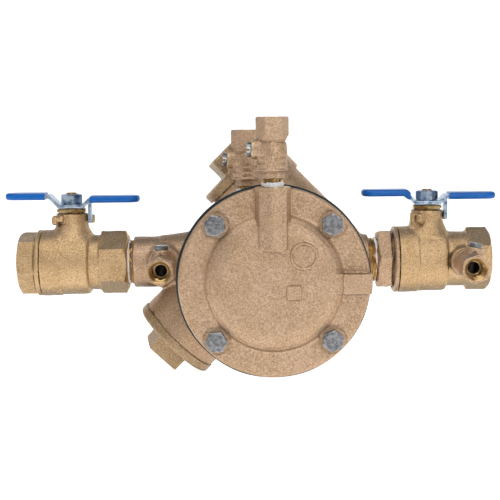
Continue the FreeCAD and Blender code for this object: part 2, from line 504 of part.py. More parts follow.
os.makedirs("parts", exist_ok=True)
cock_1 = COCKS[1][0]
inlet_boss = rod((cock_1.x, -14, cock_1.z), FRONT, 10.2, -cock_1.y - 14)
inlet_shut_stop = Part.makeBox(4.2, 7.0, 16, V(-TAB_HALF - 4.6, -14.9, 18))
outlet_shut_stop = Part.makeBox(8.6, 7.0, 7.0, V(-13.0, -14.9, 29.5))
save_valve("inlet", INLET_STEM_X, (INLET_ADAPTER_END, 20.2), INLET_NECK_END, INLET_HEX_END, inlet_shut_stop,
           (12.9, 16.0), inlet_boss, cock_boss_bores(1, 18))
save_valve("outlet", OUTLET_STEM_X, (OUTLET_ADAPTER_END, 42.0), OUTLET_NECK_END, OUTLET_HEX_END,
           outlet_shut_stop, (19.0, 14.5))
save("main_body", main_body())
save_check("inlet", ARM_1_SEAT, ARM_1_WAY, 12)
save_check("outlet", ARM_2_SEAT, ARM_2_WAY, -12)
save_relief()
for number, (face, way, side) in COCKS.items():
    save("test_cock_%d_body" % number, placed(cock_body(), face, way, side))
    save("test_cock_%d_plug" % number, placed(cock_plug(), face, way, side))
save("thread_tape", thread_tape())
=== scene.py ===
"""Looks of a 1 inch reduced-pressure backflow preventer: a sand-cast bronze body with a relief valve on its
front, a ball valve screwed on each end, and four test cocks. The sections follow the order in which it is put
together.

Lengths in the sections are millimetres from a piece's own centre, and become metres in mesh_object().
"""
import json
import math

import bpy
import numpy as np
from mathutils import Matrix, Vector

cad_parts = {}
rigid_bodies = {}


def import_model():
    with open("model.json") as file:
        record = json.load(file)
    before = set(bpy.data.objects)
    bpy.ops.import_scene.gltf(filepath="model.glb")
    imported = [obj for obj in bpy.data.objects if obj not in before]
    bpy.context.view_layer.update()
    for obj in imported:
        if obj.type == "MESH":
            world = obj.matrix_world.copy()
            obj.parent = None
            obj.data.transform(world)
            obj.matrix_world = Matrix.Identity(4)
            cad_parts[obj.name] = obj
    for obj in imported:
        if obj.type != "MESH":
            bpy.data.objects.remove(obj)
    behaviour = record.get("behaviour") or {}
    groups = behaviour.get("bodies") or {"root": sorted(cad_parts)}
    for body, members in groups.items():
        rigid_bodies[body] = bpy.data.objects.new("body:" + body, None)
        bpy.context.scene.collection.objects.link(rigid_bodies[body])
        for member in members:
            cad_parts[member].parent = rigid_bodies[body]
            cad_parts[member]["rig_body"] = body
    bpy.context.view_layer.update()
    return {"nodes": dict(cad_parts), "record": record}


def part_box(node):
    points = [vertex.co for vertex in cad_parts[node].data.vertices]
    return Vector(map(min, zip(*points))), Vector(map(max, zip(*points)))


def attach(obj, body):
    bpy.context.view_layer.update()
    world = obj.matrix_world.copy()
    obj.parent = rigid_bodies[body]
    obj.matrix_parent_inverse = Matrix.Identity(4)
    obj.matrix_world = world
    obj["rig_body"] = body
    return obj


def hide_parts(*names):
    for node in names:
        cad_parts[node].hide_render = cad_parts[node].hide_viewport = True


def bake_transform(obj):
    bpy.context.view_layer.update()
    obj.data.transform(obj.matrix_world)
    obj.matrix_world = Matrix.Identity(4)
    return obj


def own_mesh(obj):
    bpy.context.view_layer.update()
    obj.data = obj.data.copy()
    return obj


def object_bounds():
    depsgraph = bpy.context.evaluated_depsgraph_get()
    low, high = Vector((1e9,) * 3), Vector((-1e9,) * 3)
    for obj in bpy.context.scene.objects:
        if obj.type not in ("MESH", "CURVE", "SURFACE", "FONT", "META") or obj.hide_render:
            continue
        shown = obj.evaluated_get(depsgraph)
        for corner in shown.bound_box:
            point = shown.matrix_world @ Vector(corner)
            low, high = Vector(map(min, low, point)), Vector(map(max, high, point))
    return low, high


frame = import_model()

# ---- Where the pieces stand ------------------------------------------------------------------------------
# The casting holds everything: the relief valve's axis runs towards the front through the cover bolts'
# centre, and the ball valves' stems stand on the pipe's axis, which is the frame's X axis.
MM = 0.001
COARSE = 1.0


def middle(node):
    """The middle of a CAD node's box, in millimetres."""
    low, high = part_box(node)
    return (np.array(low) + np.array(high)) / 2 / MM


RELIEF_X = middle("cover_bolts")[0]
BODY_X = RELIEF_X - 15.6
FRONT, UP, RIGHT = (0, -1, 0), (0, 0, 1), (1, 0, 0)


# ---- Main body -------------------------------------------------------------------------------------------
# One sand casting in bronze: two necks, two slanting arms that hold the checks, the relief bowl with its
# round flange, bosses for the test cocks and the discharge spout. Its seats and threads are machined.
def unit(way):
    way = np.array(way, float)
    return way / np.linalg.norm(way)


def rounded(wall, ends, edge):
    """One distance from two that meet in a corner, each already let in by edge, with the corner rounded."""
    return np.minimum(np.maximum(wall, ends), 0) + np.hypot(np.maximum(wall, 0), np.maximum(ends, 0)) - edge


def rod(start, way, radius, length, edge=0.6, tip_radius=None):
    """Signed distance to a round bar or cone along way: the larger of how far a point is outside the wall and
    past the ends, with both rims rounded to edge."""
    start, way = np.array(start, float), unit(way)
    slope = 0.0 if tip_radius is None else (tip_radius - radius) / length
    shrink = 1 / math.hypot(1, slope)

    def distance(p):
        rel = p - start
        t = rel @ way
        r = np.sqrt(np.maximum(np.einsum("ij,ij->i", rel, rel) - t * t, 0))
        wall = (r - radius - slope * t) * shrink + edge
        ends = np.abs(t - length / 2) - length / 2 + edge
        return rounded(wall, ends, edge)
    return distance


def ball(centre, radius):
    centre = np.array(centre, float)
    return lambda p: np.linalg.norm(p - centre, axis=1) - radius


def block(centre, half, axes=((1, 0, 0), (0, 1, 0), (0, 0, 1)), edge=0.6):
    """Signed distance to a box with rounded edges, turned to its own three axes."""
    centre, half, turn = np.array(centre, float), np.array(half, float), np.array([unit(a) for a in axes])

    def distance(p):
        q = np.abs((p - centre) @ turn.T) - half + edge
        return np.minimum(q.max(1), 0) + np.linalg.norm(np.maximum(q, 0), axis=1) - edge
    return distance


def bar(sides, across, start, way, side, length, edge=0.5):
    """Signed distance to a regular prism along way, one flat facing side: how far past the furthest flat."""
    start, way = np.array(start, float), unit(way)
    across_way = unit(np.array(side, float) - np.dot(side, way) * way)
    other = np.cross(way, across_way)
    turns = [2 * math.pi * k / sides for k in range(sides)]
    flats = np.array([across_way * math.cos(a) + other * math.sin(a) for a in turns])

    def distance(p):
        rel = p - start
        wall = (rel @ flats.T).max(1) - across / 2 + edge
        t = rel @ way
        ends = np.abs(t - length / 2) - length / 2 + edge
        return rounded(wall, ends, edge)
    return distance


def turned(start, way, outline):
    """Signed distance to a solid of revolution: the distance in the plane of radius and height to a closed
    outline of points, negative inside it by counting the sides that a ray crosses."""
    start, way = np.array(start, float), unit(way)
    corners = np.array(outline, float)

    def distance(p):
        rel = p - start
        t = rel @ way
        r = np.sqrt(np.maximum(np.einsum("ij,ij->i", rel, rel) - t * t, 0))
        nearest = np.full(len(p), 1e9)
        inside = np.zeros(len(p), bool)
        for a, b in zip(corners, np.roll(corners, -1, axis=0)):
            side = b - a
            u, v = r - a[0], t - a[1]
            share = np.clip((u * side[0] + v * side[1]) / (side @ side), 0, 1)
            away = (u - share * side[0]) ** 2 + (v - share * side[1]) ** 2
            if a[0] > 0 or b[0] > 0:
                nearest = np.minimum(nearest, away)
            if a[1] != b[1]:
                crosses = (t < a[1]) != (t < b[1])
                inside ^= crosses & (r < a[0] + (t - a[1]) * side[0] / side[1])
        return np.sqrt(nearest) * np.where(inside, -1, 1)
    return distance


def joined(shapes, fillet=0.0):
    """The union of shapes with a round fillet in each inner corner. Within a patch of points, shapes that are
    too far off to matter are left out."""
    def distance(p):
        low, high = p.min(0), p.max(0)
        reach = np.linalg.norm(high - low) / 2
        at_middle = np.array([s((low + high)[None] / 2)[0] for s in shapes])
        limit = at_middle.min() + 2 * reach + fillet + 0.5
        total = None
        for shape, away in zip(shapes, at_middle):
            if away > limit:
                continue
            found = shape(p)
            if total is None:
                total = found
            elif fillet:
                corner = np.hypot(np.maximum(fillet - total, 0), np.maximum(fillet - found, 0))
                total = np.maximum(fillet, np.minimum(total, found)) - corner
            else:
                total = np.minimum(total, found)
        return total
    return distance


def wavy(shape, height=0.09):
    """A casting's skin: the shape with a low swell, a sum of sines along slanting directions."""
    ways = np.array([(0.31, 0.22, 0.17), (-0.23, 0.35, 0.29), (0.41, -0.3, 0.37), (-0.52, -0.47, 0.33)])
    return lambda p: shape(p) + height * np.sin(p @ ways.T + 1.3).sum(1) / 2


def distances(field, points, patch=16.0):
    """Distances at many points, worked out patch by patch."""
    keys = np.floor(points / patch).astype(np.int64) @ np.array([1, 4096, 4096 * 4096])
    order = np.argsort(keys, kind="stable")
    cuts = np.flatnonzero(np.diff(keys[order])) + 1
    found = np.empty(len(points))
    for part in np.split(order, cuts):
        found[part] = field(points[part])
    return found


def carved(field, low, high, cell):
    """The surface where a field of distances is zero, as corner points, four-sided faces and outward ways.
    Each cell that the surface passes through gets one point, where the planes at its crossed edges meet best,
    and each crossed edge gets the face that joins its four cells."""
    low, high = np.array(low, float) - 2 * cell, np.array(high, float) + 2 * cell
    step = 4
    count = np.ceil((high - low) / (cell * step)).astype(int)
    centres = low + (np.stack(np.meshgrid(*map(np.arange, count), indexing="ij"), -1) + 0.5) * cell * step
    at_centre = distances(field, centres.reshape(-1, 3), 40.0).reshape(count)
    near = np.abs(at_centre) < cell * step * 0.5 * math.sqrt(3) * 1.25
    wanted = np.zeros(count * step + 1, bool)
    values = np.where(at_centre < 0, -1e3, 1e3)
    for axis in range(3):
        near, values = near.repeat(step, axis), values.repeat(step, axis)
    for i in (0, 1):
        for j in (0, 1):
            for k in (0, 1):
                wanted[i:near.shape[0] + i, j:near.shape[1] + j, k:near.shape[2] + k] |= near
    values = np.pad(values, ((0, 1),) * 3, mode="edge")
    spots = np.argwhere(wanted)
    values[wanted] = distances(field, low + spots * cell)
    inside = values < 0
    shape = np.array(values.shape)
    strides = np.array([shape[1] * shape[2], shape[2], 1])
    flat = values.ravel()
    starts, ends, flips, sides = [], [], [], []
    for axis in range(3):
        crossed = np.diff(inside, axis=axis)
        spot = np.argwhere(crossed)
        starts.append(spot @ strides)
        ends.append(starts[-1] + strides[axis])
        flips.append(inside.ravel()[starts[-1]])
        sides.append(np.full(len(spot), axis))
    start, end, flip, side = map(np.concatenate, (starts, ends, flips, sides))
    share = flat[start] / (flat[start] - flat[end])
    origin = low + np.stack(np.unravel_index(start, shape), -1) * cell
    crossing = origin + np.eye(3)[side] * (share * cell)[:, None]
    tip = np.array([(1, -1, -1), (-1, -1, 1), (-1, 1, -1), (1, 1, 1)]) * 0.02
    away = sum(k * distances(field, crossing + k)[:, None] for k in tip)
    away /= np.linalg.norm(away, axis=1)[:, None] + 1e-12
    corners = []
    for axis in range(3):
        b, c = strides[(axis + 1) % 3], strides[(axis + 2) % 3]
        at = start[side == axis]
        corners.append(np.stack([at, at - b, at - b - c, at - c], -1))
    corners = np.concatenate(corners)
    cells, face = np.unique(corners, return_inverse=True)
    face = face.reshape(-1, 4)
    rows = face.ravel()
    n, c = away.repeat(4, 0), crossing.repeat(4, 0)

    def summed(values):
        return np.bincount(rows, values, len(cells))
    share = np.maximum(summed(np.ones(len(rows))), 1)
    mean = np.stack([summed(c[:, i]) / share for i in range(3)], -1)
    level = np.einsum("ij,ij->i", n, c - mean[rows])
    square = np.empty((len(cells), 3, 3))
    for i in range(3):
        for j in range(i, 3):
            square[:, i, j] = square[:, j, i] = summed(n[:, i] * n[:, j])
    square += np.eye(3) * 0.08
    pull = np.stack([summed(n[:, i] * level) for i in range(3)], -1)
    move = np.linalg.solve(square, pull[..., None])[..., 0]
    points = mean + np.clip(move, -cell * 0.8, cell * 0.8)
    normals = np.stack([summed(n[:, i]) for i in range(3)], -1)
    normals /= np.linalg.norm(normals, axis=1)[:, None] + 1e-12
    face[flip] = face[flip][:, ::-1]
    return points, face[:, ::-1], normals


def mesh_object(name, points, faces, body, stands_for=(), slot=None, material=None, crisp=40.0):
    """A mesh from points in millimetres, smooth but for edges sharper than crisp degrees, riding on a body.
    With no body it rides on nothing."""
    mesh = bpy.data.meshes.new(name)
    faces = np.asarray(faces)
    mesh.vertices.add(len(points))
    mesh.vertices.foreach_set("co", (np.asarray(points) * MM).astype(np.float32).ravel())
    mesh.loops.add(faces.size)
    mesh.loops.foreach_set("vertex_index", faces.ravel().astype(np.int32))
    mesh.polygons.add(len(faces))
    mesh.polygons.foreach_set("loop_start", np.arange(len(faces), dtype=np.int32) * faces.shape[1])
    mesh.polygons.foreach_set("loop_total", np.full(len(faces), faces.shape[1], np.int32))
    mesh.update(calc_edges=True)
    mesh.validate()
    mesh.shade_smooth()
    mesh.set_sharp_from_angle(angle=math.radians(crisp))
    piece = bpy.data.objects.new(name, mesh)
    bpy.context.scene.collection.objects.link(piece)
    if body:
        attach(piece, body)
    if stands_for:
        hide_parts(*stands_for)
    mesh.materials.append(material)
    return piece


def attribute(piece, name, values):
    made = piece.data.attributes.new(name, "FLOAT", "POINT")
    made.data.foreach_set("value", values.astype(np.float32))


def carve(outside, inside, low, high, cell):
    """Mesh a shape, outside less inside, with its recesses, edges and machined faces kept as values on its
    points.
    A recess is where the space just outside is closer to metal than it should be; an edge is where the metal
    just below the skin is thin; a machined face lies on the inside shape. The materials paint shade into
    recesses and lighten edges, partly as wear and partly as a painted highlight."""
    def field(p):
        return np.maximum(outside(p), -inside(p)) if inside else outside(p)
    points, faces, normals = carved(field, low, high, cell * COARSE)
    return {"points": points, "faces": faces, "values": {
        "recess": np.clip(1 - distances(field, points + normals * 3.0) / 3.0, 0, 1),
        "edge": np.clip(1 + distances(field, points - normals * 0.9) / 0.9, 0, 1),
        "machined": np.abs(distances(inside, points)) < 0.12 if inside else np.zeros(len(points))}}


def set_down(name, carving, origin, body, material, slot, axes=None, crisp=40.0):
    """Place a carved shape, its axes turned to the given ones, as one piece that replaces its CAD node."""
    points = carving["points"] if axes is None else carving["points"] @ np.array(axes, float)
    piece = mesh_object(name, points + origin, carving["faces"], body, (name,), slot, material, crisp)
    for label, values in carving["values"].items():
        attribute(piece, label, values)
    return piece


class Wire:
    """One output of a material's node. Arithmetic on it adds Math nodes; node() adds any other node."""

    def __init__(self, tree, socket=None):
        self.tree, self.socket = tree, socket

    def node(self, kind, settings=None, inputs=None, output=0):
        made = self.tree.nodes.new(kind)
        for name, value in (settings or {}).items():
            setattr(made, name, value)
        for name, value in (inputs or {}).items():
            if isinstance(value, Wire):
                self.tree.links.new(value.socket, made.inputs[name])
            else:
                made.inputs[name].default_value = value
        return Wire(self.tree, made.outputs[output])

    def maths(self, operation, *values):
        return self.node("ShaderNodeMath", {"operation": operation}, dict(enumerate(values)))

    def __add__(self, other):
        return self.maths("ADD", self, other)

    def __sub__(self, other):
        return self.maths("SUBTRACT", self, other)

    def __mul__(self, other):
        return self.maths("MULTIPLY", self, other)

    def __rsub__(self, other):
        return self.maths("SUBTRACT", other, self)

    __radd__, __rmul__ = __add__, __mul__

    def mix(self, first, second):
        """Between two colours, by this value."""
        return self.node("ShaderNodeMix", {"data_type": "RGBA"}, {0: self, 6: first, 7: second}, 2)

    def between(self, low, high, to_low=0.0, to_high=1.0):
        """This value carried from one range to another, and held inside it."""
        inputs = {"Value": self, 1: low, 2: high, 3: to_low, 4: to_high}
        return self.node("ShaderNodeMapRange", {"interpolation_type": "SMOOTHSTEP"}, inputs)

    def noise(self, size, detail=2.0, roughness=0.5):
        """Soft noise whose lumps are about size millimetres, on Object coordinates."""
        inputs = {"Vector": self, "Scale": 1 / (size * MM), "Detail": detail, "Roughness": roughness}
        return self.node("ShaderNodeTexNoise", None, inputs)

    def bump(self, height, strength, deep):
        """The normal of a surface raised by height, deep metres at most."""
        return self.node("ShaderNodeBump", None, {"Strength": strength, "Distance": deep, "Height": height})

    def attribute(self, name):
        return self.node("ShaderNodeAttribute", {"attribute_name": name}, None, 2)


def new_material(name):
    """An empty material, a Wire to build it with and one that carries Object coordinates."""
    material = bpy.data.materials.new(name)
    material.use_nodes = True
    material.node_tree.nodes.clear()
    wire = Wire(material.node_tree)
    return material, wire, wire.node("ShaderNodeTexCoord", None, None, 3)


def shine(wire, **sockets):
    """The Principled shader with its sockets set, on the material's output."""
    made = wire.node("ShaderNodeBsdfPrincipled", None, {k.replace("_", " "): v for k, v in sockets.items()})
    out = wire.tree.nodes.new("ShaderNodeOutputMaterial")
    wire.tree.links.new(made.socket, out.inputs["Surface"])


def rgb(red, green, blue):
    """A colour given as it looks on a screen, from 0 to 255, as the linear values that Blender takes."""
    return tuple(((c / 255 + 0.055) / 1.055) ** 2.4 for c in (red, green, blue))


def cast_bronze(name, sand=(191, 160, 132), brass=(198, 164, 116), dark=(92, 76, 56)):
    """Sand-cast bronze: a grained tan skin, with painted brown shade in recesses and painted shade where
    faces look up and, most of all, where they look down, paler and yellower on edges, partly as wear and
    partly as a painted highlight, with bright brass on machined faces."""
    material, wire, here = new_material(name)
    patches = here.noise(16, 3).between(0.35, 0.65)
    grain, fine = here.noise(0.95, 2, 0.6), here.noise(0.5, 1)
    recess, edge = wire.attribute("recess").between(0.3, 1.0), wire.attribute("edge").between(0.25, 0.75)
    machined = wire.attribute("machined").between(0.3, 0.7)
    facing = wire.node("ShaderNodeNewGeometry", None, None, 1)
    upright = wire.node("ShaderNodeSeparateXYZ", None, {0: facing}, 2)
    # Painted shade: faces that look up are darkened a little, faces that look down much more.
    up_down_shade = upright.between(0.7, 0.97, 0.0, 0.55) + upright.between(-0.97, -0.5, 0.8, 0.0)
    skin = patches.mix((*rgb(*sand), 1), (*rgb(sand[0] - 9, sand[1] - 9, sand[2] - 12), 1))
    skin = up_down_shade.mix(skin, (*rgb(*dark), 1))
    skin = grain.between(0.34, 0.5, 0.42, 0.0).mix(skin, (*rgb(*dark), 1))
    skin = grain.between(0.52, 0.7, 0.0, 0.42).mix(skin, (*rgb(232, 204, 172), 1))
    # Edges lighten towards a pale gold: partly wear, partly a painted highlight.
    skin = (edge * fine.between(0.3, 0.7, 0.25, 0.7)).mix(skin, (*rgb(236, 206, 160), 1))
    colour = machined.mix(skin, (*rgb(*brass), 1))
    # Painted shade: recesses and bores, machined ones too, are darkened towards a deep brown.
    colour = (recess * 0.8).mix(colour, (*rgb(66, 50, 34), 1))
    rough = (grain.between(0.3, 0.7, 0.56, 0.4) - edge * 0.1) * (1 - machined) + machined * 0.3
    height = (here.noise(2.2, 2) * 0.9 + grain * 0.6 + fine * 0.15) * (1 - machined * 0.93)
    bump = wire.bump(height, 0.7, 0.0005)
    shine(wire, Base_Color=colour, Metallic=machined * 0.25 + 0.7, Roughness=rough, Normal=bump)
    return material


BRONZE = cast_bronze("cast_bronze")
VALVE_BRONZE = cast_bronze("valve_bronze", (202, 169, 127), (204, 170, 112), (88, 76, 50))
CAP_BRONZE = cast_bronze("cap_bronze", (174, 148, 116), (198, 164, 116), (76, 66, 46))

NECK_R, ARM_1_R, ARM_1_RIM_R, ARM_2_R = 19.05, 29.6, 32.1, 33.0
SEAT_1, SEAT_2 = np.array((37.7, 0.0, 25.0)), np.array((-11.7, 0.0, -13.1))
ARM_1, ARM_2 = unit((-1, 0, 1)), unit((-1, 0, -1))
CAP_AT = 60.0
INLET_SHOULDER, OUTLET_SHOULDER = 88.2, -86.9
FLANGE_R, FLANGE_FROM, FLANGE_TO = 62.2, 102.0, 111.7
RELIEF = (15.6, 0, 0)
BOLT_CIRCLE_R = 54.2
BOLTS = [(15.6 + BOLT_CIRCLE_R * math.cos(a), BOLT_CIRCLE_R * math.sin(a))
         for a in np.radians((45, 135, 225, 315))]

arm_1 = joined([rod(SEAT_1 - ARM_1 * 26, ARM_1, ARM_1_R, CAP_AT + 26, 0.8),
                ball(SEAT_1 - ARM_1 * 26, ARM_1_R),
                rod(SEAT_1 + ARM_1 * 34, ARM_1, ARM_1_RIM_R, CAP_AT - 34, 1.2)])
bowl = turned(RELIEF, FRONT, [(0, 25), (34, 25), (34, 76), (47, 90), (47, FLANGE_FROM),
                              (FLANGE_R, FLANGE_FROM),
                              (FLANGE_R, FLANGE_TO), (0, FLANGE_TO)])
body_outside = joined([
    arm_1,
    rod(SEAT_2 - ARM_2 * 42, ARM_2, ARM_2_R, CAP_AT + 42, 0.8),
    rod((48, 0, 0), RIGHT, NECK_R, INLET_SHOULDER - 48, 0.8),
    rod((OUTLET_SHOULDER, 0, 0), RIGHT, NECK_R, 70, 0.8),
    rod((-66, 0, 0.5), RIGHT, NECK_R - 0.6, 30, 0.3, 24.0),
    bowl,
    rod((15.6, -68, -64), UP, 19.0, 50, 1.5),
    rod((15.6 + BOLT_CIRCLE_R, -12, 0), FRONT, 6.5, 92, 1.0),
    rod((-63, -5, 0.8), FRONT, 12.6, 19.8, 1.2),
    rod((-2, -44, 10), UP, 10.0, 43.8, 1.0),
    rod((-2, -26, 36), FRONT, 9.0, 18, 1.0),
    *[rod((x, -90, z), FRONT, 8.0, 14, 1.0) for x, z in BOLTS],
    rod((80, 0, 0), RIGHT, 15.6, 108.5 - 80, 0.8),
    rod((-105.5, 0, 0), RIGHT, 15.6, 30, 0.8),
], 3.2)
body_inside = joined([
    rod((60, 0, 0), RIGHT, 12.7, 60), rod((-110, 0, 0), RIGHT, 12.7, 68),
    rod(SEAT_1 - ARM_1 * 36, ARM_1, 17.0, 33), ball(SEAT_1 - ARM_1 * 33, 17.0),
    rod(SEAT_1 - ARM_1 * 4, ARM_1, 21.0, 5, 0.1), rod(SEAT_1, ARM_1, 25.6, 61),
    rod(SEAT_1 + ARM_1 * 20.5, ARM_2, 12.0, 42),
    rod(SEAT_2 - ARM_2 * 27, ARM_2, 17.0, 24),
    rod(SEAT_2 - ARM_2 * 4, ARM_2, 21.0, 5, 0.1), rod(SEAT_2, ARM_2, 28.0, 61),
    rod((15.6, -92, 0), FRONT, 44.0, 30), rod((15.6, -86, 0), FRONT, 11.9, 8, 0.1),
    rod((15.6, -62, 0), FRONT, 22.0, 25), rod((15.6, -48, 0), FRONT, 7.0, 20),
    rod((15.6, -68, -65), UP, 15.5, 36, 0.3), rod((15.6, -68, -30), UP, 17.0, 25),
    rod((8, -8, 27.5), FRONT, 4.5, 90), rod((15.6 + BOLT_CIRCLE_R, -8, 0), FRONT, 2.5, 110),
    rod(SEAT_1 + ARM_1 * 48, ARM_1, 28.03, 13, 0.1), rod(SEAT_2 + ARM_2 * 48, ARM_2, 28.03, 13, 0.1),
    rod(SEAT_1 + ARM_1 * 57.4, ARM_1, 30.6, 4, 0.1), rod(SEAT_2 + ARM_2 * 57.4, ARM_2, 30.6, 4, 0.1),
    *[rod((x, -96, z), FRONT, 3.98, 20, 0.1) for x, z in BOLTS],
    rod((-2, -44, 43.8), UP, 6.24, 12, 0.1), rod((-2, -44, 28), UP, 3.0, 20, 0.1),
    rod((-63, -14.8, 0.8), FRONT, 6.24, 12, 0.1), rod((-63, -4.8, 0.8), FRONT, 3.0, 20, 0.1),
])
set_down("main_body", carve(wavy(body_outside), body_inside, (-107, -112, -81), (110, 34, 92), 1.52),
         (BODY_X, 0, 0), "body", BRONZE, "cast_bronze")


# ---- Relief valve's cover --------------------------------------------------------------------------------
# A bronze casting held by four bolts over the diaphragm: a round flange, a low dome, the boss that test cock
# 2 screws into, and a pad over the sensing passage. Blank raised marks stand where a foundry's would.
COVER_R, COVER_FRONT, COVER_BACK = 63.2, 122.0, 114.7
DOME_BASE_R, DOME_TOP_R, DOME_TALL = 46.4, 38.2, 7.5
COVER_COCK_X, COVER_COCK_Z, COVER_BOSS_R, COVER_BOSS_LOW = -0.5, 63.1, 11.7, 22.0
PAD_LOW, PAD_HIGH = -7.2, 6.2
SPOTFACE = 0.45

shell = turned((0, 0, 0), FRONT, [(0, COVER_BACK), (COVER_R, COVER_BACK), (COVER_R, COVER_FRONT - 1.6),
                                  (COVER_R - 0.5, COVER_FRONT - 0.5), (COVER_R - 1.6, COVER_FRONT),
                                  (0, COVER_FRONT)])
dome = turned((0, 0, 0), FRONT, [(0, COVER_BACK + 1), (DOME_BASE_R + 1, COVER_BACK + 1),
                                 (DOME_BASE_R + 1, COVER_FRONT - 1), (DOME_BASE_R, COVER_FRONT),
                                 (DOME_BASE_R - 2.0, 124.7), (DOME_BASE_R - 4.8, 127.1),
                                 (DOME_TOP_R, 128.8), (DOME_TOP_R - 4.0, COVER_FRONT + DOME_TALL),
                                 (0, COVER_FRONT + DOME_TALL)])
cover_boss = joined([rod((COVER_COCK_X, -COVER_FRONT, COVER_BOSS_LOW), UP, COVER_BOSS_R, 50, 0.6),
                     block((COVER_COCK_X, -126.0, COVER_BOSS_LOW + 22), (9.4, 5.4, 22), edge=2.2)])
rim = rod((0, -COVER_BACK, 0), FRONT, COVER_R + 0.6, 40, 0.8)
pad_middle, pad_half = (PAD_LOW + PAD_HIGH) / 2, (PAD_HIGH - PAD_LOW) / 2
pad = block((54.5, -COVER_FRONT - 3, pad_middle), (10, 4.2, pad_half), edge=1.0)
pad_root = block((44, -COVER_FRONT - 2.4, pad_middle), (5.5, 3.6, pad_half), edge=1.2)
ring_centre = np.array((19.4, -COVER_FRONT - DOME_TALL, 18.1))


def ring(p):
    """Signed distance to a thin ring lying on the plateau: off its circle and off its plane at once."""
    rel = p - ring_centre
    return np.hypot(np.hypot(rel[:, 0], rel[:, 2]) - 8.2, rel[:, 1] + 0.3) - 1.0


def within(shape, limit):
    """The part of a shape that is inside a limiting shape."""
    return lambda p: np.maximum(shape(p), limit(p))


def less(shape, taken):
    """A shape with another taken away."""
    return lambda p: np.maximum(shape(p), -taken(p))


plain_cover = joined([joined([shell, dome], 0.9), within(cover_boss, rim),
                      within(joined([pad, pad_root]), rim)], 0.7)
square_mark = block((12.8, -COVER_FRONT - DOME_TALL, -5.8), (4.9, 1.5, 4.9), edge=1.2)
cover_outside = joined([plain_cover, ring, square_mark], 0.3)
cover_inside = joined([
    turned((0, 0, 0), FRONT, [(0, COVER_BACK - 1), (40, COVER_BACK - 1), (40, 118.5), (34, 126), (0, 126)]),
    rod((BOLT_CIRCLE_R, -COVER_BACK + 1, 0), FRONT, 2.5, 9.3, 0.1),
    rod((33, -COVER_FRONT + 0.5, 0), RIGHT, 2.5, BOLT_CIRCLE_R - 31, 0.1),
    rod((COVER_COCK_X, -COVER_FRONT, 52.1), UP, 6.24, 20, 0.1),
    rod((COVER_COCK_X, -COVER_FRONT, 30), UP, 3.0, 30, 0.1),
    rod((COVER_COCK_X, -COVER_FRONT, COVER_COCK_Z), UP, 13.0, 6, 0.1),
    *[rod((x - 15.6, -COVER_BACK + 1, z), FRONT, 4.25, 30, 0.1) for x, z in BOLTS],
])
spotfaces = joined([rod((x - 15.6, -COVER_FRONT + SPOTFACE, z), FRONT, 9.2, 20, 0.3) for x, z in BOLTS])
cover = carve(wavy(less(cover_outside, spotfaces), 0.05), cover_inside, (-64, -135, -64), (64, -114, 65), 0.8)
set_down("relief_cover", cover, (RELIEF_X, 0, 0), "body", BRONZE, "cast_bronze")


# ---- Diaphragm -------------------------------------------------------------------------------------------
# A flat moulded rubber disc clamped between flange and cover. Its rim stands a little proud, more on the
# left, and is squeezed round. It is one still mesh on no body: its middle does not go with the plates on the
# spindle.
def moulded_rubber(name):
    """Dark rubber with a blue-green cast and a fine dusty bloom."""
    material, wire, here = new_material(name)
    bloom = here.noise(3, 4, 0.7).between(0.45, 0.85)
    colour = bloom.mix((*rgb(8, 24, 28), 1), (*rgb(38, 50, 52), 1))
    bump = wire.bump(here.noise(0.6, 2), 0.3, 0.0002)
    shine(wire, Base_Color=colour, Metallic=0.0, Roughness=bloom.between(0.0, 1.0, 0.5, 0.7), Normal=bump)
    return material


def loop_faces(around, along):
    """Faces of a grid that closes on itself both ways."""
    i, j = np.meshgrid(np.arange(around), np.arange(along), indexing="ij")
    i2, j2 = (i + 1) % around, (j + 1) % along
    return np.stack([i * along + j, i2 * along + j, i2 * along + j2, i * along + j2], -1).reshape(-1, 4)


RUBBER = moulded_rubber("moulded_rubber")
DISC_BACK, DISC_FRONT, DISC_HOLE = 111.72, 114.68, 4.05
around = 180
angle = np.arange(around)[:, None] * 2 * math.pi / around
rim_r = 64.8 - 0.4 * np.cos(angle - 0.5) + 0.12 * np.sin(angle * 9)
PLATE_EDGE_R, CLAMP_R = 30.5, 43.0
bends = np.linspace(PLATE_EDGE_R, CLAMP_R, 6)
depths = np.array([DISC_BACK] * 8 + [DISC_BACK + 0.5, (DISC_BACK + DISC_FRONT) / 2, DISC_FRONT - 0.5]
                  + [DISC_FRONT] * 8 + [DISC_BACK + 1.0])
hole_r, bend_r = np.full((around, 1), DISC_HOLE), np.tile(bends, (around, 1))
radii = np.concatenate([hole_r, bend_r, rim_r - 0.7, rim_r - 0.15, rim_r, rim_r - 0.15, rim_r - 0.7,
                        bend_r[:, ::-1], hole_r, hole_r], 1)
disc = np.stack([RELIEF_X + radii * np.cos(angle), np.broadcast_to(-depths, radii.shape),
                 radii * np.sin(angle)], -1)
soft_disc = mesh_object("relief_diaphragm", disc.reshape(-1, 3), loop_faces(around, 20), None,
                        ("relief_diaphragm",), "dark_rubber", RUBBER)
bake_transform(soft_disc)


# ---- Cover bolts -----------------------------------------------------------------------------------------
# Four plated hexagon bolts, forged, with a washer face turned under the head and short raised dashes on top.
HEAD_ACROSS, HEAD_TALL, SHANK_R = 12.9, 5.3 + SPOTFACE, 3.95


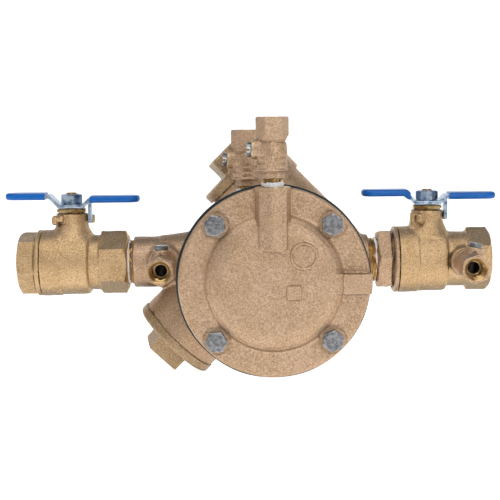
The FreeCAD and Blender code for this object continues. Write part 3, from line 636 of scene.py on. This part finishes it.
def mottled_steel(name, bright=(148, 149, 151), dull=(104, 105, 108)):
    """Plated steel that has weathered: soft dark and bright blotches over a fine grain."""
    material, wire, here = new_material(name)
    blotch = here.noise(2.4, 3, 0.5)
    edge = wire.attribute("edge").between(0.1, 0.5)
    colour = blotch.between(0.36, 0.64).mix((*rgb(*dull), 1), (*rgb(*bright), 1))
    # Edges lighten almost to white: partly wear, partly a painted highlight.
    colour = (edge * 0.8).mix(colour, (*rgb(226, 228, 231), 1))
    # Painted shade: recesses are darkened almost to black.
    colour = (wire.attribute("recess").between(0.3, 1.0) * 0.9).mix(colour, (*rgb(30, 28, 26), 1))
    height = blotch * 0.6 + here.noise(0.5, 1) * 0.4
    bump = wire.bump(height, 0.5, 0.00025)
    shine(wire, Base_Color=colour, Metallic=0.9, Roughness=blotch.between(0.3, 0.7, 0.46, 0.36), Normal=bump)
    return material


STEEL = mottled_steel("weathered_steel")
head = within(bar(6, HEAD_ACROSS, (0, 0, 0.5), UP, RIGHT, HEAD_TALL - 0.5, 0.15),
              turned((0, 0, 0), UP, [(0, 0), (7.6, 0), (7.6, HEAD_TALL - 1.0), (6.0, HEAD_TALL),
                                     (0, HEAD_TALL)]))
dashes = [block((3.6 * math.cos(a), 3.6 * math.sin(a), HEAD_TALL), (1.1, 0.28, 0.22),
                ((math.cos(a), math.sin(a), 0), (-math.sin(a), math.cos(a), 0), UP), 0.1)
          for a in np.radians(np.arange(0, 360, 60))]
washer_face, shank = rod((0, 0, 0), UP, 6.2, 0.7, 0.1), rod((0, 0, -25), UP, SHANK_R, 26, 0.3)
bolt = carve(joined([head, washer_face, shank, *dashes]), None, (-7.6, -7.6, -25), (7.6, 7.6, 6.8), 0.5)
bolt_points, bolt_faces = [], []
for number, (x, z) in enumerate(BOLTS):
    turn = math.radians(17 * number)
    axes = np.array([(math.cos(turn), 0, math.sin(turn)), (-math.sin(turn), 0, math.cos(turn)), FRONT])
    bolt_faces.append(bolt["faces"] + number * len(bolt["points"]))
    bolt_points.append(bolt["points"] @ axes + (x + BODY_X, SPOTFACE - COVER_FRONT, z))
all_bolts = {"points": np.concatenate(bolt_points), "faces": np.concatenate(bolt_faces),
             "values": {k: np.tile(v, 4) for k, v in bolt["values"].items()}}
set_down("cover_bolts", all_bolts, (0, 0, 0), "body", STEEL, "zinc_steel")


# ---- Check caps ------------------------------------------------------------------------------------------
# A bronze casting screwed into the end of each arm: a square for the wrench, a flange that presses on the
# O-ring, a hollow plug and the bored guide that the poppet's stem slides in.
CAP_R, CAP_FLANGE, CAP_SQUARE, CAP_TOP = 33.8, 66.8, 27.0, 81.1

cap_outside = joined([
    turned((0, 0, 0), UP, [(0, CAP_AT), (CAP_R - 0.4, CAP_AT), (CAP_R, CAP_AT + 0.5),
                           (CAP_R, CAP_FLANGE - 1.6), (CAP_R - 0.6, CAP_FLANGE - 0.5),
                           (CAP_R - 1.6, CAP_FLANGE), (0, CAP_FLANGE)]),
    rod((0, 0, 49), UP, 28.0, 12, 0.5), rod((0, 0, 36), UP, 8.5, 26, 0.5),
    bar(4, CAP_SQUARE, (0, 0, CAP_AT + 1), UP, RIGHT, CAP_TOP - CAP_AT - 1, 1.2)], 1.4)
cap_inside = joined([rod((0, 0, 35), UP, 5.05, 21, 0.1),
                     turned((0, 0, 0), UP, [(8.5, 47), (24, 47), (24, 58), (23, 59), (9.5, 59), (8.5, 58)])])
cap = carve(wavy(cap_outside), cap_inside, (-34, -34, 36), (34, 34, 82), 0.95)
for name, seat, way, turn in (("inlet", SEAT_1, ARM_1, 12), ("outlet", SEAT_2, ARM_2, -12)):
    turn = math.radians(turn)
    side = np.array(FRONT) * math.cos(turn) + np.cross(way, FRONT) * math.sin(turn)
    set_down(name + "_check_cap", cap, seat + (BODY_X, 0, 0), "body", CAP_BRONZE, "cast_bronze",
             (side, np.cross(way, side), way))


# ---- Ball valve bodies and their screwed end pieces ------------------------------------------------------
# Each valve is a bronze casting with a boss for the stem, two lugs that stop the handle, and a hexagon with a
# tapped port. A second hexagon with a collar screws into its other end and holds one seat.
VALVE_HEX, BARREL_R, VALVE_NECK_R, BOSS_R, BOSS_TOP = 41.0, 24.8, 20.5, 11.6, 37.2
PIPE_R, PORT_DEEP, PIPE_PITCH = 15.73, 17.0, 25.4 / 11.5
VALVES = {"outlet": {"neck": 21.7, "end": 42.3, "adapter": -39.5, "turn": 42.0, "gap": 0.0},
          "inlet": {"neck": 29.1, "end": 46.1, "adapter": -38.0, "turn": 20.2, "gap": 1.5}}


def chamfer(end, way, across):
    """What a tool takes off a hexagon's corners at its end: a ring outside a 30-degree cone."""
    flat, corner = across / 2 - 0.4, across / math.sqrt(3) + 2
    drop = (corner - flat) * math.tan(math.radians(30))
    return turned((end, 0, 0), (way, 0, 0), [(flat, 0.0), (corner, -drop), (corner, 3.0), (flat, 3.0)])


def hexagon(low, high, turn):
    side = (0, math.cos(math.radians(turn)), math.sin(math.radians(turn)))
    return bar(6, VALVE_HEX, (low, 0, 0), RIGHT, side, high - low, 0.9)


for name, sizes in VALVES.items():
    stem_x = middle(name + "_valve_stem")[0]
    neck, end = sizes["neck"], sizes["end"]
    barrel = turned((0, 0, 0), RIGHT, [(0, -22), (BARREL_R, -22), (BARREL_R, -8.4), (BARREL_R - 0.7, -7.4),
                                       (23.7, 11.4), (23.3, 12.6), (22.2, 13.5), (0, 13.5)])
    if name == "inlet":
        lugs = [block((-6.9, -12.6, 31.8), (2.2, 3.2, 3.6), edge=1.8),
                block((-11.0, -3.5, 28), (1.6, 4.5, 6.5), edge=1)]
        bores = [rod((24.5, -16.8, 0.8), FRONT, 6.24, 11, 0.1), rod((24.5, -8, 0.8), FRONT, 3.0, 20, 0.1)]
        lugs.append(rod((24.5, -14, 0.8), FRONT, 10.2, 12.8, 0.8))
    else:
        lugs = [block((-11.0, -11.4, 33.0), (2.2, 3.5, 3.4), edge=1.9),
                block((-6.2, -11.0, 34), (1.9, 3.9, 2.5), edge=1.5)]
        bores = []
    valve_outside = joined([
        joined([barrel, rod((10, 0, 0), RIGHT, VALVE_NECK_R, neck - 9, 0.2)], 1.2),
        hexagon(neck, end, 0), rod((0, 0, 0), UP, BOSS_R, BOSS_TOP, 0.7),
        rod((0, 0, 18), UP, 17.0, 11.0, 0.3, BOSS_R - 0.2),
        block((12.2, 6.7, 32.5), (4.0, 2.3, 3.0), edge=1.0), *lugs], 1.8)
    valve_inside = joined([
        rod((-23, 0, 0), RIGHT, 21.0, 16, 0.1), ball((0, 0, 0), 20.3), rod((0, 0, 0), RIGHT, 16.5, 17, 0.1),
        rod((0, 0, 0), RIGHT, 12.5, end), rod((end - PORT_DEEP, 0, 0), RIGHT, PIPE_R, PORT_DEEP + 2, 0.3),
        rod((0, 0, 14), UP, 7.0, 9), rod((0, 0, 20), UP, 4.65, 20, 0.1), rod((0, 0, 28), UP, 7.0, 12, 0.1),
        *([chamfer(end, 1, VALVE_HEX)] if name == "outlet" else []), *bores])
    if name == "inlet":
        valve_outside = less(valve_outside, chamfer(end, 1, VALVE_HEX))
    carving = carve(wavy(valve_outside), valve_inside, (-22, -28, -25), (end, 25, 38), 0.75)
    set_down(name + "_valve_body", carving, (stem_x, 0, 0), "body", VALVE_BRONZE, "cast_bronze")
    low = sizes["adapter"]
    adapter_outside = joined([
        hexagon(low, -26.2 - sizes["gap"], sizes["turn"]), rod((-29, 0, 0), RIGHT, 20.0, 12, 0.4),
        rod((-21, 0, 0), RIGHT, 20.97, 8, 0.4),
        turned((0, 0, 0), RIGHT, [(0, -26.2), (23.0, -26.2), (24.1, -25.8), (24.8, -25), (24.8, -23.2),
                                  (24.3, -22.6), (0, -22.6)])], 0.3)
    adapter_inside = joined([rod((low - 1, 0, 0), RIGHT, PIPE_R, PORT_DEEP + 1, 0.3),
                             rod((low, 0, 0), RIGHT, 12.5, 40),
                             rod((-17, 0, 0), RIGHT, 16.5, 10, 0.1)])
    adapter_outside = less(adapter_outside, chamfer(low, -1, VALVE_HEX))
    carving = carve(wavy(adapter_outside), adapter_inside, (low, -25, -25), (-12.8, 25, 25), 0.8)
    set_down(name + "_valve_adapter", carving, (stem_x, 0, 0), "body",
             BRONZE if name == "inlet" else VALVE_BRONZE, "cast_bronze")


# ---- Screw threads ---------------------------------------------------------------------------------------
# The turns cut in the valves' ports and on the body's two ends. Brass shows bright where the tool has been.
def turned_brass(name, colour=(198, 172, 124)):
    """Machined brass: bright, with faint rings from the tool."""
    material, wire, here = new_material(name)
    stain = here.noise(5, 3).between(0.35, 0.7)
    tone = stain.mix((*rgb(*colour), 1), (*rgb(colour[0] - 34, colour[1] - 40, colour[2] - 40), 1))
    bump = wire.bump(here.noise(0.4, 2), 0.2, 0.0001)
    shine(wire, Base_Color=tone, Metallic=1.0, Roughness=stain.between(0.0, 1.0, 0.22, 0.4), Normal=bump)
    return material


BRASS = turned_brass("turned_brass")


def axes_along(way):
    """Three axes whose last runs along way."""
    way = unit(way)
    side = unit(np.cross(way, (0.3, 0.9, 0.2)))
    return np.array([side, np.cross(way, side), way])


def thread(start, way, length, pitch, root, crest, plain):
    """A closed ring with a screw thread on one face. At an angle a and height h the threaded radius goes up
    and down between root and crest as a triangle wave of h / pitch - a / turn, and dies out at both ends; the
    other face is plain. A crest larger than the root is an outside thread."""
    around, along = (96, int(length / pitch * 8) + 2)
    angle = np.arange(around)[:, None] * 2 * math.pi / around
    height = np.linspace(0, length, along)[None]
    wave = 1 - 2 * np.abs((height / pitch - angle / (2 * math.pi)) % 1 - 0.5)
    from_end = np.minimum(height, length - height)
    wave = np.clip(wave * 1.3 - 0.15, 0, 1) * np.clip(from_end / (pitch * 0.5), 0, 1)
    radius = np.concatenate([root + (crest - root) * wave, np.full((around, 2), plain)], 1)
    height = np.concatenate([height.repeat(around, 0), np.array([[length, 0]]).repeat(around, 0)], 1)
    local = np.stack([radius * np.cos(angle), radius * np.sin(angle), height], -1).reshape(-1, 3)
    faces = loop_faces(around, along + 2)
    return local @ axes_along(way) + start, faces if crest > plain else faces[:, ::-1]


def gathered(parts):
    """Several point and face sets as one."""
    starts = np.cumsum([0] + [len(points) for points, _ in parts[:-1]])
    return np.concatenate([p for p, _ in parts]), np.concatenate([f + n for (_, f), n in zip(parts, starts)])


inlet_face = middle("inlet_valve_stem")[0] + VALVES["inlet"]["end"]
outlet_stem_x = middle("outlet_valve_stem")[0]
threads = {
    "inlet_port_thread": [((inlet_face - 0.6, 0, 0), (-1, 0, 0), PORT_DEEP - 1.5, PIPE_R + 0.3, 14.9, 16.1)],
    "outlet_port_thread": [((outlet_stem_x + VALVES["outlet"]["adapter"] + 0.6, 0, 0), RIGHT, PORT_DEEP - 1.5,
                            PIPE_R + 0.3, 14.9, 16.1)],
    "body_neck_threads": [((BODY_X + INLET_SHOULDER - 0.5, 0, 0), RIGHT, 9.0, 15.65, 16.7, 15.2),
                          ((BODY_X + OUTLET_SHOULDER + 0.5, 0, 0), (-1, 0, 0), 7.5, 15.65, 16.7, 15.2)]}
for name, rings in threads.items():
    made = [thread(start, way, length, PIPE_PITCH, *radii) for start, way, length, *radii in rings]
    mesh_object(name, *gathered(made), "body", (), "turned_brass", BRASS, 30)


# ---- Packing nuts, handles, grips and handle nuts --------------------------------------------------------
# A brass nut presses the packing round each stem. Above it a plated steel strip, bent up into two wings, is
# held by a plated nut; its tab turns between the lugs. Each wing is dipped in blue vinyl.
STRIP, FLAT_Z, FLAT, WING_HALF = 2.5, 43.05, 9.0, 7.5
RIGHT_REACH, RIGHT_Z, LEFT_REACH, LEFT_Z = 49.6, 47.9, 47.6, 50.4
GRIP_THICK, GRIP_PAST = 5.2, 2.4
GRIPS_FROM = {"inlet": (12.9, 16.0), "outlet": (19.0, 14.5)}


def plated_zinc(name):
    """Bright zinc plating with a blue cast, a little uneven, its edges lighter as wear and as a painted
    highlight.
    """
    material, wire, here = new_material(name)
    cloud = here.noise(4, 3)
    edge = wire.attribute("edge").between(0.2, 0.8)
    colour = cloud.between(0.35, 0.65).mix((*rgb(122, 150, 180), 1), (*rgb(190, 203, 218), 1))
    # Edges lighten almost to white: partly wear, partly a painted highlight.
    colour = (edge * 0.6).mix(colour, (*rgb(232, 236, 240), 1))
    bump = wire.bump(here.noise(0.7, 2), 0.25, 0.0002)
    shine(wire, Base_Color=colour, Metallic=0.95, Roughness=cloud.between(0.3, 0.7, 0.24, 0.42), Normal=bump)
    return material


def dipped_vinyl(name, colour=(2, 101, 186)):
    """Soft blue vinyl, glossy, with the slow ripple of a dipped coat and a few scuffs."""
    material, wire, here = new_material(name)
    scuff = here.noise(2.5, 4, 0.65).between(0.6, 0.8)
    tone = here.noise(14, 2).between(0.3, 0.7).mix((*rgb(*colour), 1), (*rgb(1, 88, 170), 1))
    tone = (scuff * 0.15).mix(tone, (*rgb(90, 140, 200), 1))
    bump = wire.bump(here.noise(5, 1), 0.3, 0.0004)
    shine(wire, Base_Color=tone, Metallic=0.0, Roughness=scuff * 0.25 + 0.3, Specular_IOR_Level=0.25,
          Coat_Weight=0.1, Normal=bump)
    return material


ZINC, VINYL = plated_zinc("zinc_plating"), dipped_vinyl("blue_vinyl")


def strip(line, thick, half_wide, x_from, x_to, edge):
    """Signed distance to a bent strip: its distance from a bent line seen from the front, less half its
    thickness, meets its distance from a rounded bar seen from above, with a round edge between them."""
    line = np.array(line, float)

    def distance(p):
        away = np.full(len(p), 1e9)
        for a, b in zip(line[:-1], line[1:]):
            side, u, v = b - a, p[:, 0] - a[0], p[:, 2] - a[1]
            share = np.clip((u * side[0] + v * side[1]) / (side @ side), 0, 1)
            away = np.minimum(away, np.hypot(u - share * side[0], v - share * side[1]))
        slab = away - thick / 2 + edge
        plan = np.hypot(p[:, 0] - np.clip(p[:, 0], x_from, x_to), p[:, 1]) - half_wide + edge
        return rounded(slab, plan, edge)
    return distance


def wing_line(side, reach, wing_z, x_from=0.0):
    """The bent line of one wing, from the stem outwards: flat, 45-degree slope, raised flat."""
    line = [(0, FLAT_Z), (FLAT, FLAT_Z), (FLAT + wing_z - FLAT_Z, wing_z), (reach, wing_z)]
    kept = [(x, z) for x, z in line if x > x_from]
    if x_from > 0:
        start_z = float(np.interp(x_from, *zip(*line)))
        kept = [(x_from, start_z)] + kept
    else:
        kept = line
    return [(side * x, z) for x, z in kept]


whole_line = wing_line(-1, LEFT_REACH, LEFT_Z)[::-1] + wing_line(1, RIGHT_REACH, RIGHT_Z)[1:]
handle_outside = joined([
    strip(whole_line, STRIP, WING_HALF, -LEFT_REACH + WING_HALF, RIGHT_REACH - WING_HALF, 0.35),
    block((0, 0, FLAT_Z), (FLAT + 0.8, 9.5, STRIP / 2), edge=0.35),
    block((13.75, 0, 38.6), (1.25, 4.0, 7.6), edge=0.35)], 0.8)
handle = carve(handle_outside, rod((0, 0, 30), UP, 4.02, 30, 0.1), (-48, -10, 30), (50, 10, 52), 0.55)
nut_shape = within(bar(6, 14.3, (0, 0, 44.4), UP, (math.cos(0.349), math.sin(0.349), 0), 7.5, 0.15),
                   turned((0, 0, 0), UP, [(0, 44.4), (7.0, 44.4), (8.3, 45.3), (8.3, 50.9), (6.6, 51.9),
                                          (0, 51.9)]))
nut = carve(nut_shape, rod((0, 0, 40), UP, 4.02, 20, 0.1), (-8.5, -8.5, 44), (8.5, 8.5, 52), 0.42)
gland_shape = joined([
    within(bar(6, 21.0, (0, 0, 38.1), UP, RIGHT, 2.9, 0.15),
           turned((0, 0, 0), UP, [(0, 38.1), (10.2, 38.1), (11.6, 38.9), (11.6, 40.2), (10.2, 41.0),
                                  (0, 41.0)])),
    rod((0, 0, 33.5), UP, 6.95, 5.5, 0.2)])
gland = carve(gland_shape, rod((0, 0, 33), UP, 4.65, 10, 0.1), (-12.2, -12.2, 33), (12.2, 12.2, 41.2), 0.5)
for name, (left_from, right_from) in GRIPS_FROM.items():
    at, rider = (middle(name + "_valve_stem")[0], 0, 0), name + "_handle_and_ball"
    set_down(name + "_packing_nut", gland, at, "body", BRASS, "turned_brass")
    set_down(name + "_handle", handle, at, rider, ZINC, "zinc_steel")
    set_down(name + "_handle_nut", nut, at, rider, ZINC, "zinc_steel")
    sleeves = []
    for side, reach, wing_z, start in ((1, RIGHT_REACH, RIGHT_Z, right_from),
                                       (-1, LEFT_REACH, LEFT_Z, left_from)):
        tip = reach + GRIP_PAST
        half = WING_HALF + (GRIP_THICK - STRIP) / 2
        line = wing_line(side, tip - GRIP_THICK / 2, wing_z, start + 1.0)
        ends = sorted((side * (start - 3), side * (tip - half)))
        past_start = block((side * (start + 60), 0, 45), (60, 30, 30), edge=0)
        sleeve = within(strip(line, GRIP_THICK, half, *ends, 2.3), past_start)
        inner = strip(wing_line(side, reach, wing_z), STRIP + 0.06, WING_HALF + 0.03,
                      *sorted((0, side * (reach - WING_HALF))), 0.3)
        low, high = sorted((side * start, side * tip))
        made = carve(sleeve, inner, (low, -9, 38), (high, 9, 54), 0.65)
        sleeves.append((made["points"], made["faces"]))
    points, faces = gathered(sleeves)
    grips = name + "_handle_grips"
    mesh_object(grips, points + at, faces, rider, (grips,), "blue_vinyl", VINYL, 50)


# ---- Test cocks ------------------------------------------------------------------------------------------
# Four small bronze castings screwed into bosses: a hexagon to turn them by, a barrel with a side arm, a lug
# under the arm and a hexagonal tapped mouth. A slotted steel spindle across the barrel opens and shuts it.
COCK_ARM_AT, COCK_ARM_REACH, COCK_PITCH = 24.2, 13.6, 25.4 / 18
COCKS = {1: ((157.4, -26.8, 0.8), FRONT, (math.sin(math.radians(12)), 0, math.cos(math.radians(12)))),
         2: ((15.1, -122.0, 63.1), UP, (-1, 0, 0)), 3: ((-2.0, -44.0, 53.8), UP, (-1, 0, 0)),
         4: ((-63.0, -24.8, 0.8), FRONT, UP)}

cock_barrel = turned((0, 0, 0), UP, [(0, 10.0), (9.8, 10.0), (10.3, 10.5), (10.3, 11.3), (9.6, 12.0),
                                     (9.9, 14.6), (9.5, 15.4), (9.9, 18.6), (9.5, 19.4), (9.8, 22.0),
                                     (9.3, 28.2), (8.5, 28.9), (8.5, 29.6), (9.1, 30.1), (9.1, 30.8),
                                     (8.5, 31.4), (0, 31.4)])
hex_side = (math.cos(math.radians(33)), math.sin(math.radians(33)), 0)
cock_mouth = within(bar(6, 18.6, (0, 0, 30.8), UP, hex_side, 14.4, 0.2),
                    turned((0, 0, 0), UP, [(0, 30.8), (8.9, 30.8), (11.2, 34.2), (11.2, 44.2), (10.0, 45.2),
                                           (0, 45.2)]))
cock_outside = joined([
    rod((0, 0, -7), UP, 6.2, 14, 0.4), bar(6, 14.0, (0, 0, 5.6), UP, hex_side, 4.8, 0.2), cock_barrel,
    cock_mouth,
    rod((0, 0, COCK_ARM_AT), RIGHT, 8.2, COCK_ARM_REACH, 0.5, 6.1),
    block((10.9, 0, 16.4), (2.1, 1.7, 2.6), edge=1.2)], 0.7)
cock_inside = joined([
    rod((0, 0, -8), UP, 3.0, 40), rod((0, 0, 12), UP, 4.35, 40), rod((0, 0, 35.2), UP, 6.24, 12, 0.1),
    turned((0, 0, 0), UP, [(0, 43.6), (6.3, 43.6), (8.2, 45.5), (8.2, 46.5), (0, 46.5)]),
    rod((-7, 0, COCK_ARM_AT), RIGHT, 4.95, 30, 0.1)])
cock = carve(wavy(cock_outside, 0.05), cock_inside, (-11.2, -11.2, -7.2), (14, 11.2, 45.4), 0.52)
plug_outside = rod((-6.7, 0, COCK_ARM_AT), RIGHT, 4.8, 23.5, 0.6)
plug_inside = joined([block((17.0, 0, COCK_ARM_AT), (2.2, 10, 0.8), edge=0.1),
                      rod((0, -10, COCK_ARM_AT), (0, 1, 0), 3.0, 20)])
plug = carve(plug_outside, plug_inside, (-6.8, -5, 19), (17, 5, 29.3), 0.42)
# Painted shade: the plug's end inside the barrel counts as a full recess, so its steel is darkened almost to
# black.
shaded_plug_end = plug["points"][:, 0] < 11.0
plug["values"]["recess"] = np.maximum(plug["values"]["recess"], shaded_plug_end)
cock_threads = []
for number, (face, way, side) in COCKS.items():
    axes, at = (side, np.cross(way, side), way), np.array(face) + (BODY_X, 0, 0)
    set_down("test_cock_%d_body" % number, cock, at, "body", BRONZE, "cast_bronze", axes)
    set_down("test_cock_%d_plug" % number, plug, at, "test_cock_%d_rotor" % number, STEEL, "stainless", axes)
    cock_threads.append(thread(at - np.array(way) * 0.6, way, 6.4, COCK_PITCH, 6.25, 6.85, 5.6))
    cock_threads.append(thread(at + np.array(way) * 43.8, -np.array(way), 8.4, COCK_PITCH, 6.45, 5.75, 6.6))
mesh_object("test_cock_threads", *gathered(cock_threads), "body", (), "turned_brass", BRASS, 30)


# ---- Sealing tape ----------------------------------------------------------------------------------------
# White PTFE tape wound on each screwed end before it goes in. Its edges are torn and uneven where it shows.
def sealing_tape(name):
    """White plastic tape with fine stretch marks."""
    material, wire, here = new_material(name)
    streak = here.noise(0.9, 3, 0.7)
    colour = streak.between(0.35, 0.7).mix((*rgb(206, 208, 212), 1), (*rgb(244, 244, 245), 1))
    bump = wire.bump(streak, 0.5, 0.0002)
    shine(wire, Base_Color=colour, Metallic=0.0, Roughness=0.45, Normal=bump)
    return material


def torn_band(start, way, low, high, radius, thick, torn, seed):
    """A closed ring of tape: at each angle its two edges wander by a sum of sines, and its radius ripples."""
    around = 120
    angle = np.arange(around)[:, None] * 2 * math.pi / around
    wander = [sum(np.sin(k * angle + seed * k * 1.7 + m) / k ** 0.6 for k in (2, 5, 9, 17)) * torn / 2
              for m in (0, 2)]
    ripple = 0.06 * np.sin(angle * 11 + seed)
    low, high = low + wander[0], np.maximum(high + wander[1], low + wander[0] + 0.15)
    middle_height = (low + high) / 2
    height = np.concatenate([low, low + 0.1, middle_height, high - 0.1, high, high - 0.1, middle_height,
                             low + 0.1], 1)
    outer, inner = radius + thick + ripple, radius + 0 * ripple
    bulge = outer + 0.08 * np.cos(angle * 7 + seed)
    between = (outer + inner) / 2
    radius = np.concatenate([between, outer, bulge, outer, between, inner, inner, inner], 1)
    local = np.stack([radius * np.cos(angle), radius * np.sin(angle), height], -1).reshape(-1, 3)
    return local @ axes_along(way) + start, loop_faces(around, 8)


TAPE = sealing_tape("sealing_tape")
bands = [torn_band(np.array(face) + (BODY_X, 0, 0), way, 0.1, 3.1, 6.9, 0.4, 0.9, number)
         for number, (face, way, _) in COCKS.items()]
bands.append(torn_band((BODY_X + 93.4, 0, 0), RIGHT, 0, 1.0, 16.6, 0.35, 1.5, 5))
bands.append(torn_band((BODY_X - 89.9, 0, 0), (-1, 0, 0), 0, 1.3, 16.6, 0.35, 0.6, 6))
mesh_object("thread_tape", *gathered(bands), "body", ("thread_tape",), "white_plastic", TAPE, 60)


# ---- Rubber, springs and the other inner pieces ----------------------------------------------------------
# Inside are moulded rubber discs and rings, turned brass seats, poppets and plates, a plastic bush and the
# balls with their plastic seats. The springs are wound wire.
def drawn_steel(name):
    """Bright drawn or turned stainless steel with soft clouds."""
    material, wire, here = new_material(name)
    cloud = here.noise(3, 3).between(0.3, 0.7)
    colour = cloud.mix((*rgb(196, 198, 200), 1), (*rgb(168, 170, 174), 1))
    shine(wire, Base_Color=colour, Metallic=1.0, Roughness=cloud.between(0.0, 1.0, 0.2, 0.34))
    return material


def white_moulding(name):
    """Moulded white plastic, a little waxy."""
    material, wire, here = new_material(name)
    cloud = here.noise(5, 2).between(0.3, 0.7)
    colour = cloud.mix((*rgb(236, 235, 230), 1), (*rgb(222, 221, 214), 1))
    shine(wire, Base_Color=colour, Metallic=0.0, Roughness=cloud.between(0.0, 1.0, 0.35, 0.5))
    return material


def spring(name, at, way, side, mean_r, wire_r, low, high, turns, held, joint):
    """A wound spring along way, its wire just inside low and high. It does not shorten; joint is not used."""
    steps, around = turns * 40, 12
    turn = np.linspace(0, turns * 2 * math.pi, steps + 1)[:, None]
    ring = np.arange(around) * 2 * math.pi / around
    thick = np.where((turn == 0) | (turn == turn[-1]), 0.05, wire_r)
    rise = low + wire_r + turn / turn[-1] * (high - low - 2 * wire_r) + thick * np.sin(ring)
    reach = mean_r + thick * np.cos(ring)
    outward = np.cos(turn)[..., None] * side + np.sin(turn)[..., None] * np.cross(way, side)
    points = np.array(at) + reach[..., None] * outward + rise[..., None] * way
    i, j = np.meshgrid(np.arange(steps), np.arange(around), indexing="ij")
    j2 = (j + 1) % around
    faces = np.stack([i * around + j, (i + 1) * around + j, (i + 1) * around + j2, i * around + j2], -1)
    wound = mesh_object(name, points.reshape(-1, 3), faces.reshape(-1, 4), frame["nodes"][name]["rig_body"],
                        (name,), "stainless", STAINLESS)
    held_at = (np.array(at) + np.array(way) * held) * MM
    [float(c) for c in way]
    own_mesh(wound)


STAINLESS = drawn_steel("stainless")
front = np.array(FRONT, float)
for name, seat, way in (("inlet", SEAT_1, ARM_1), ("outlet", SEAT_2, ARM_2)):
    spring(name + "_check_spring", seat + (BODY_X, 0, 0), way, front, 12.5, 1.3, 9.0, CAP_AT - 1, 7,
           CAP_AT - 1, name + "_check_lift")
spring("relief_spring", (RELIEF_X, 0, 0), front, np.array(RIGHT, float), 18.0, 1.25, 92.0, 109.2, 3, 92.0,
       "relief_close")
inner_finishes = {"dark_rubber": RUBBER, "stainless": STAINLESS,
                  "white_plastic": white_moulding("white_plastic"), "turned_brass": BRASS, "zinc_steel": ZINC,
                  "cast_bronze": BRONZE, "blue_vinyl": VINYL}
node_slots = {part["node"]: part["material_slot"] for part in frame["record"]["subparts"]}
for node_name, node in frame["nodes"].items():
    for place in node.material_slots:
        place.material = inner_finishes[node_slots[node_name]]


# ---- Camera, light and floor -----------------------------------------------------------------------------
# A floor that glows white under and behind the piece and curves up, a soft light beside the camera and a wide
# one above it, weaker ones at the sides, and dim surroundings that are darkest overhead. The camera looks at
# the front, a little from above.
CAMERA_AT, LOOK_AT, ROLL = (BODY_X, -900.2, 110.6), (BODY_X, 0.0, 8.0), math.radians(0.6)
FLOOR_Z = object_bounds()[0][2] - 0.0005


def looking(place, target, roll=0.0):
    """The matrix of a camera or light at a place in millimetres, its -Z towards the target, then rolled."""
    ahead = unit(np.subtract(target, place))
    across = unit(np.cross(ahead, UP))
    above = np.cross(across, ahead)
    matrix = np.eye(4)
    matrix[:3, 0] = across * math.cos(roll) - above * math.sin(roll)
    matrix[:3, 1] = above * math.cos(roll) + across * math.sin(roll)
    matrix[:3, 2] = -ahead
    matrix[:3, 3] = np.array(place) * MM
    return matrix.T.tolist()


camera_data = bpy.data.cameras.new("camera")
camera_data.lens, camera_data.sensor_width = 86.4, 36.0
camera = bpy.data.objects.new("camera", camera_data)
bpy.context.scene.collection.objects.link(camera)
camera.matrix_world = looking(CAMERA_AT, LOOK_AT, ROLL)
bpy.context.scene.camera = camera

for name, place, size, power in (("front_light", (120, -1150, 430), (0.7, 0.5), 3.6),
                                 ("top_light", (-260, -480, 950), (1.3, 0.7), 6.5),
                                 ("left_light", (-1300, -700, 500), (0.6, 0.9), 1.8),
                                 ("right_light", (1000, -750, 450), (0.5, 0.9), 2.5)):
    lamp = bpy.data.lights.new(name, "AREA")
    lamp.shape, lamp.size, lamp.size_y, lamp.energy = "RECTANGLE", *size, power
    light = bpy.data.objects.new(name, lamp)
    bpy.context.scene.collection.objects.link(light)
    light.matrix_world = looking(place, (BODY_X, 0, 0))

world = bpy.data.worlds.new("studio")
world.use_nodes = True
bpy.context.scene.world = world
world.node_tree.nodes.clear()
sky = Wire(world.node_tree)
towards = sky.node("ShaderNodeTexCoord", None, None, 0)
overhead = sky.node("ShaderNodeSeparateXYZ", None, {"Vector": towards}, 2).between(0.1, 0.7)
glow = sky.node("ShaderNodeBackground", None, {"Color": overhead.mix((1, 1, 1, 1), (0.12, 0.12, 0.12, 1)),
                                               "Strength": 0.2})
sky_out = world.node_tree.nodes.new("ShaderNodeOutputWorld")
world.node_tree.links.new(glow.socket, sky_out.inputs["Surface"])
bpy.context.scene.view_settings.view_transform = "Standard"

bend = np.linspace(0, math.pi / 2, 17)
across, back, bend_r, high = np.linspace(-4.0, 4.0, 3), 1.6, 0.8, 3.0
profile_y = np.concatenate([[-4.0], back + bend_r * np.sin(bend), [back + bend_r]])
profile_z = np.concatenate([[0.0], bend_r * (1 - np.cos(bend)), [high]]) + FLOOR_Z
grid = np.stack([np.repeat(across, len(profile_y)), np.tile(profile_y, 3), np.tile(profile_z, 3)], -1)
first = (np.arange(2)[:, None] * len(profile_y) + np.arange(len(profile_y) - 1)).ravel()
floor_faces = np.stack([first, first + len(profile_y), first + len(profile_y) + 1, first + 1], -1)
floor_mesh = bpy.data.meshes.new("floor")
floor_mesh.from_pydata(grid.tolist(), [], floor_faces.tolist())
floor_mesh.shade_smooth()
floor = bpy.data.objects.new("floor", floor_mesh)
bpy.context.scene.collection.objects.link(floor)
pale, wire, here = new_material("pale_floor")
lit = wire.node("ShaderNodeSeparateXYZ", None, {"Vector": here}, 1).between(-0.55, -0.33)
shine(wire, Base_Color=(0.8, 0.8, 0.8, 1), Roughness=0.9, Emission_Color=lit.mix((0, 0, 0, 1), (1, 1, 1, 1)),
      Emission_Strength=0.85)
floor_mesh.materials.append(pale)
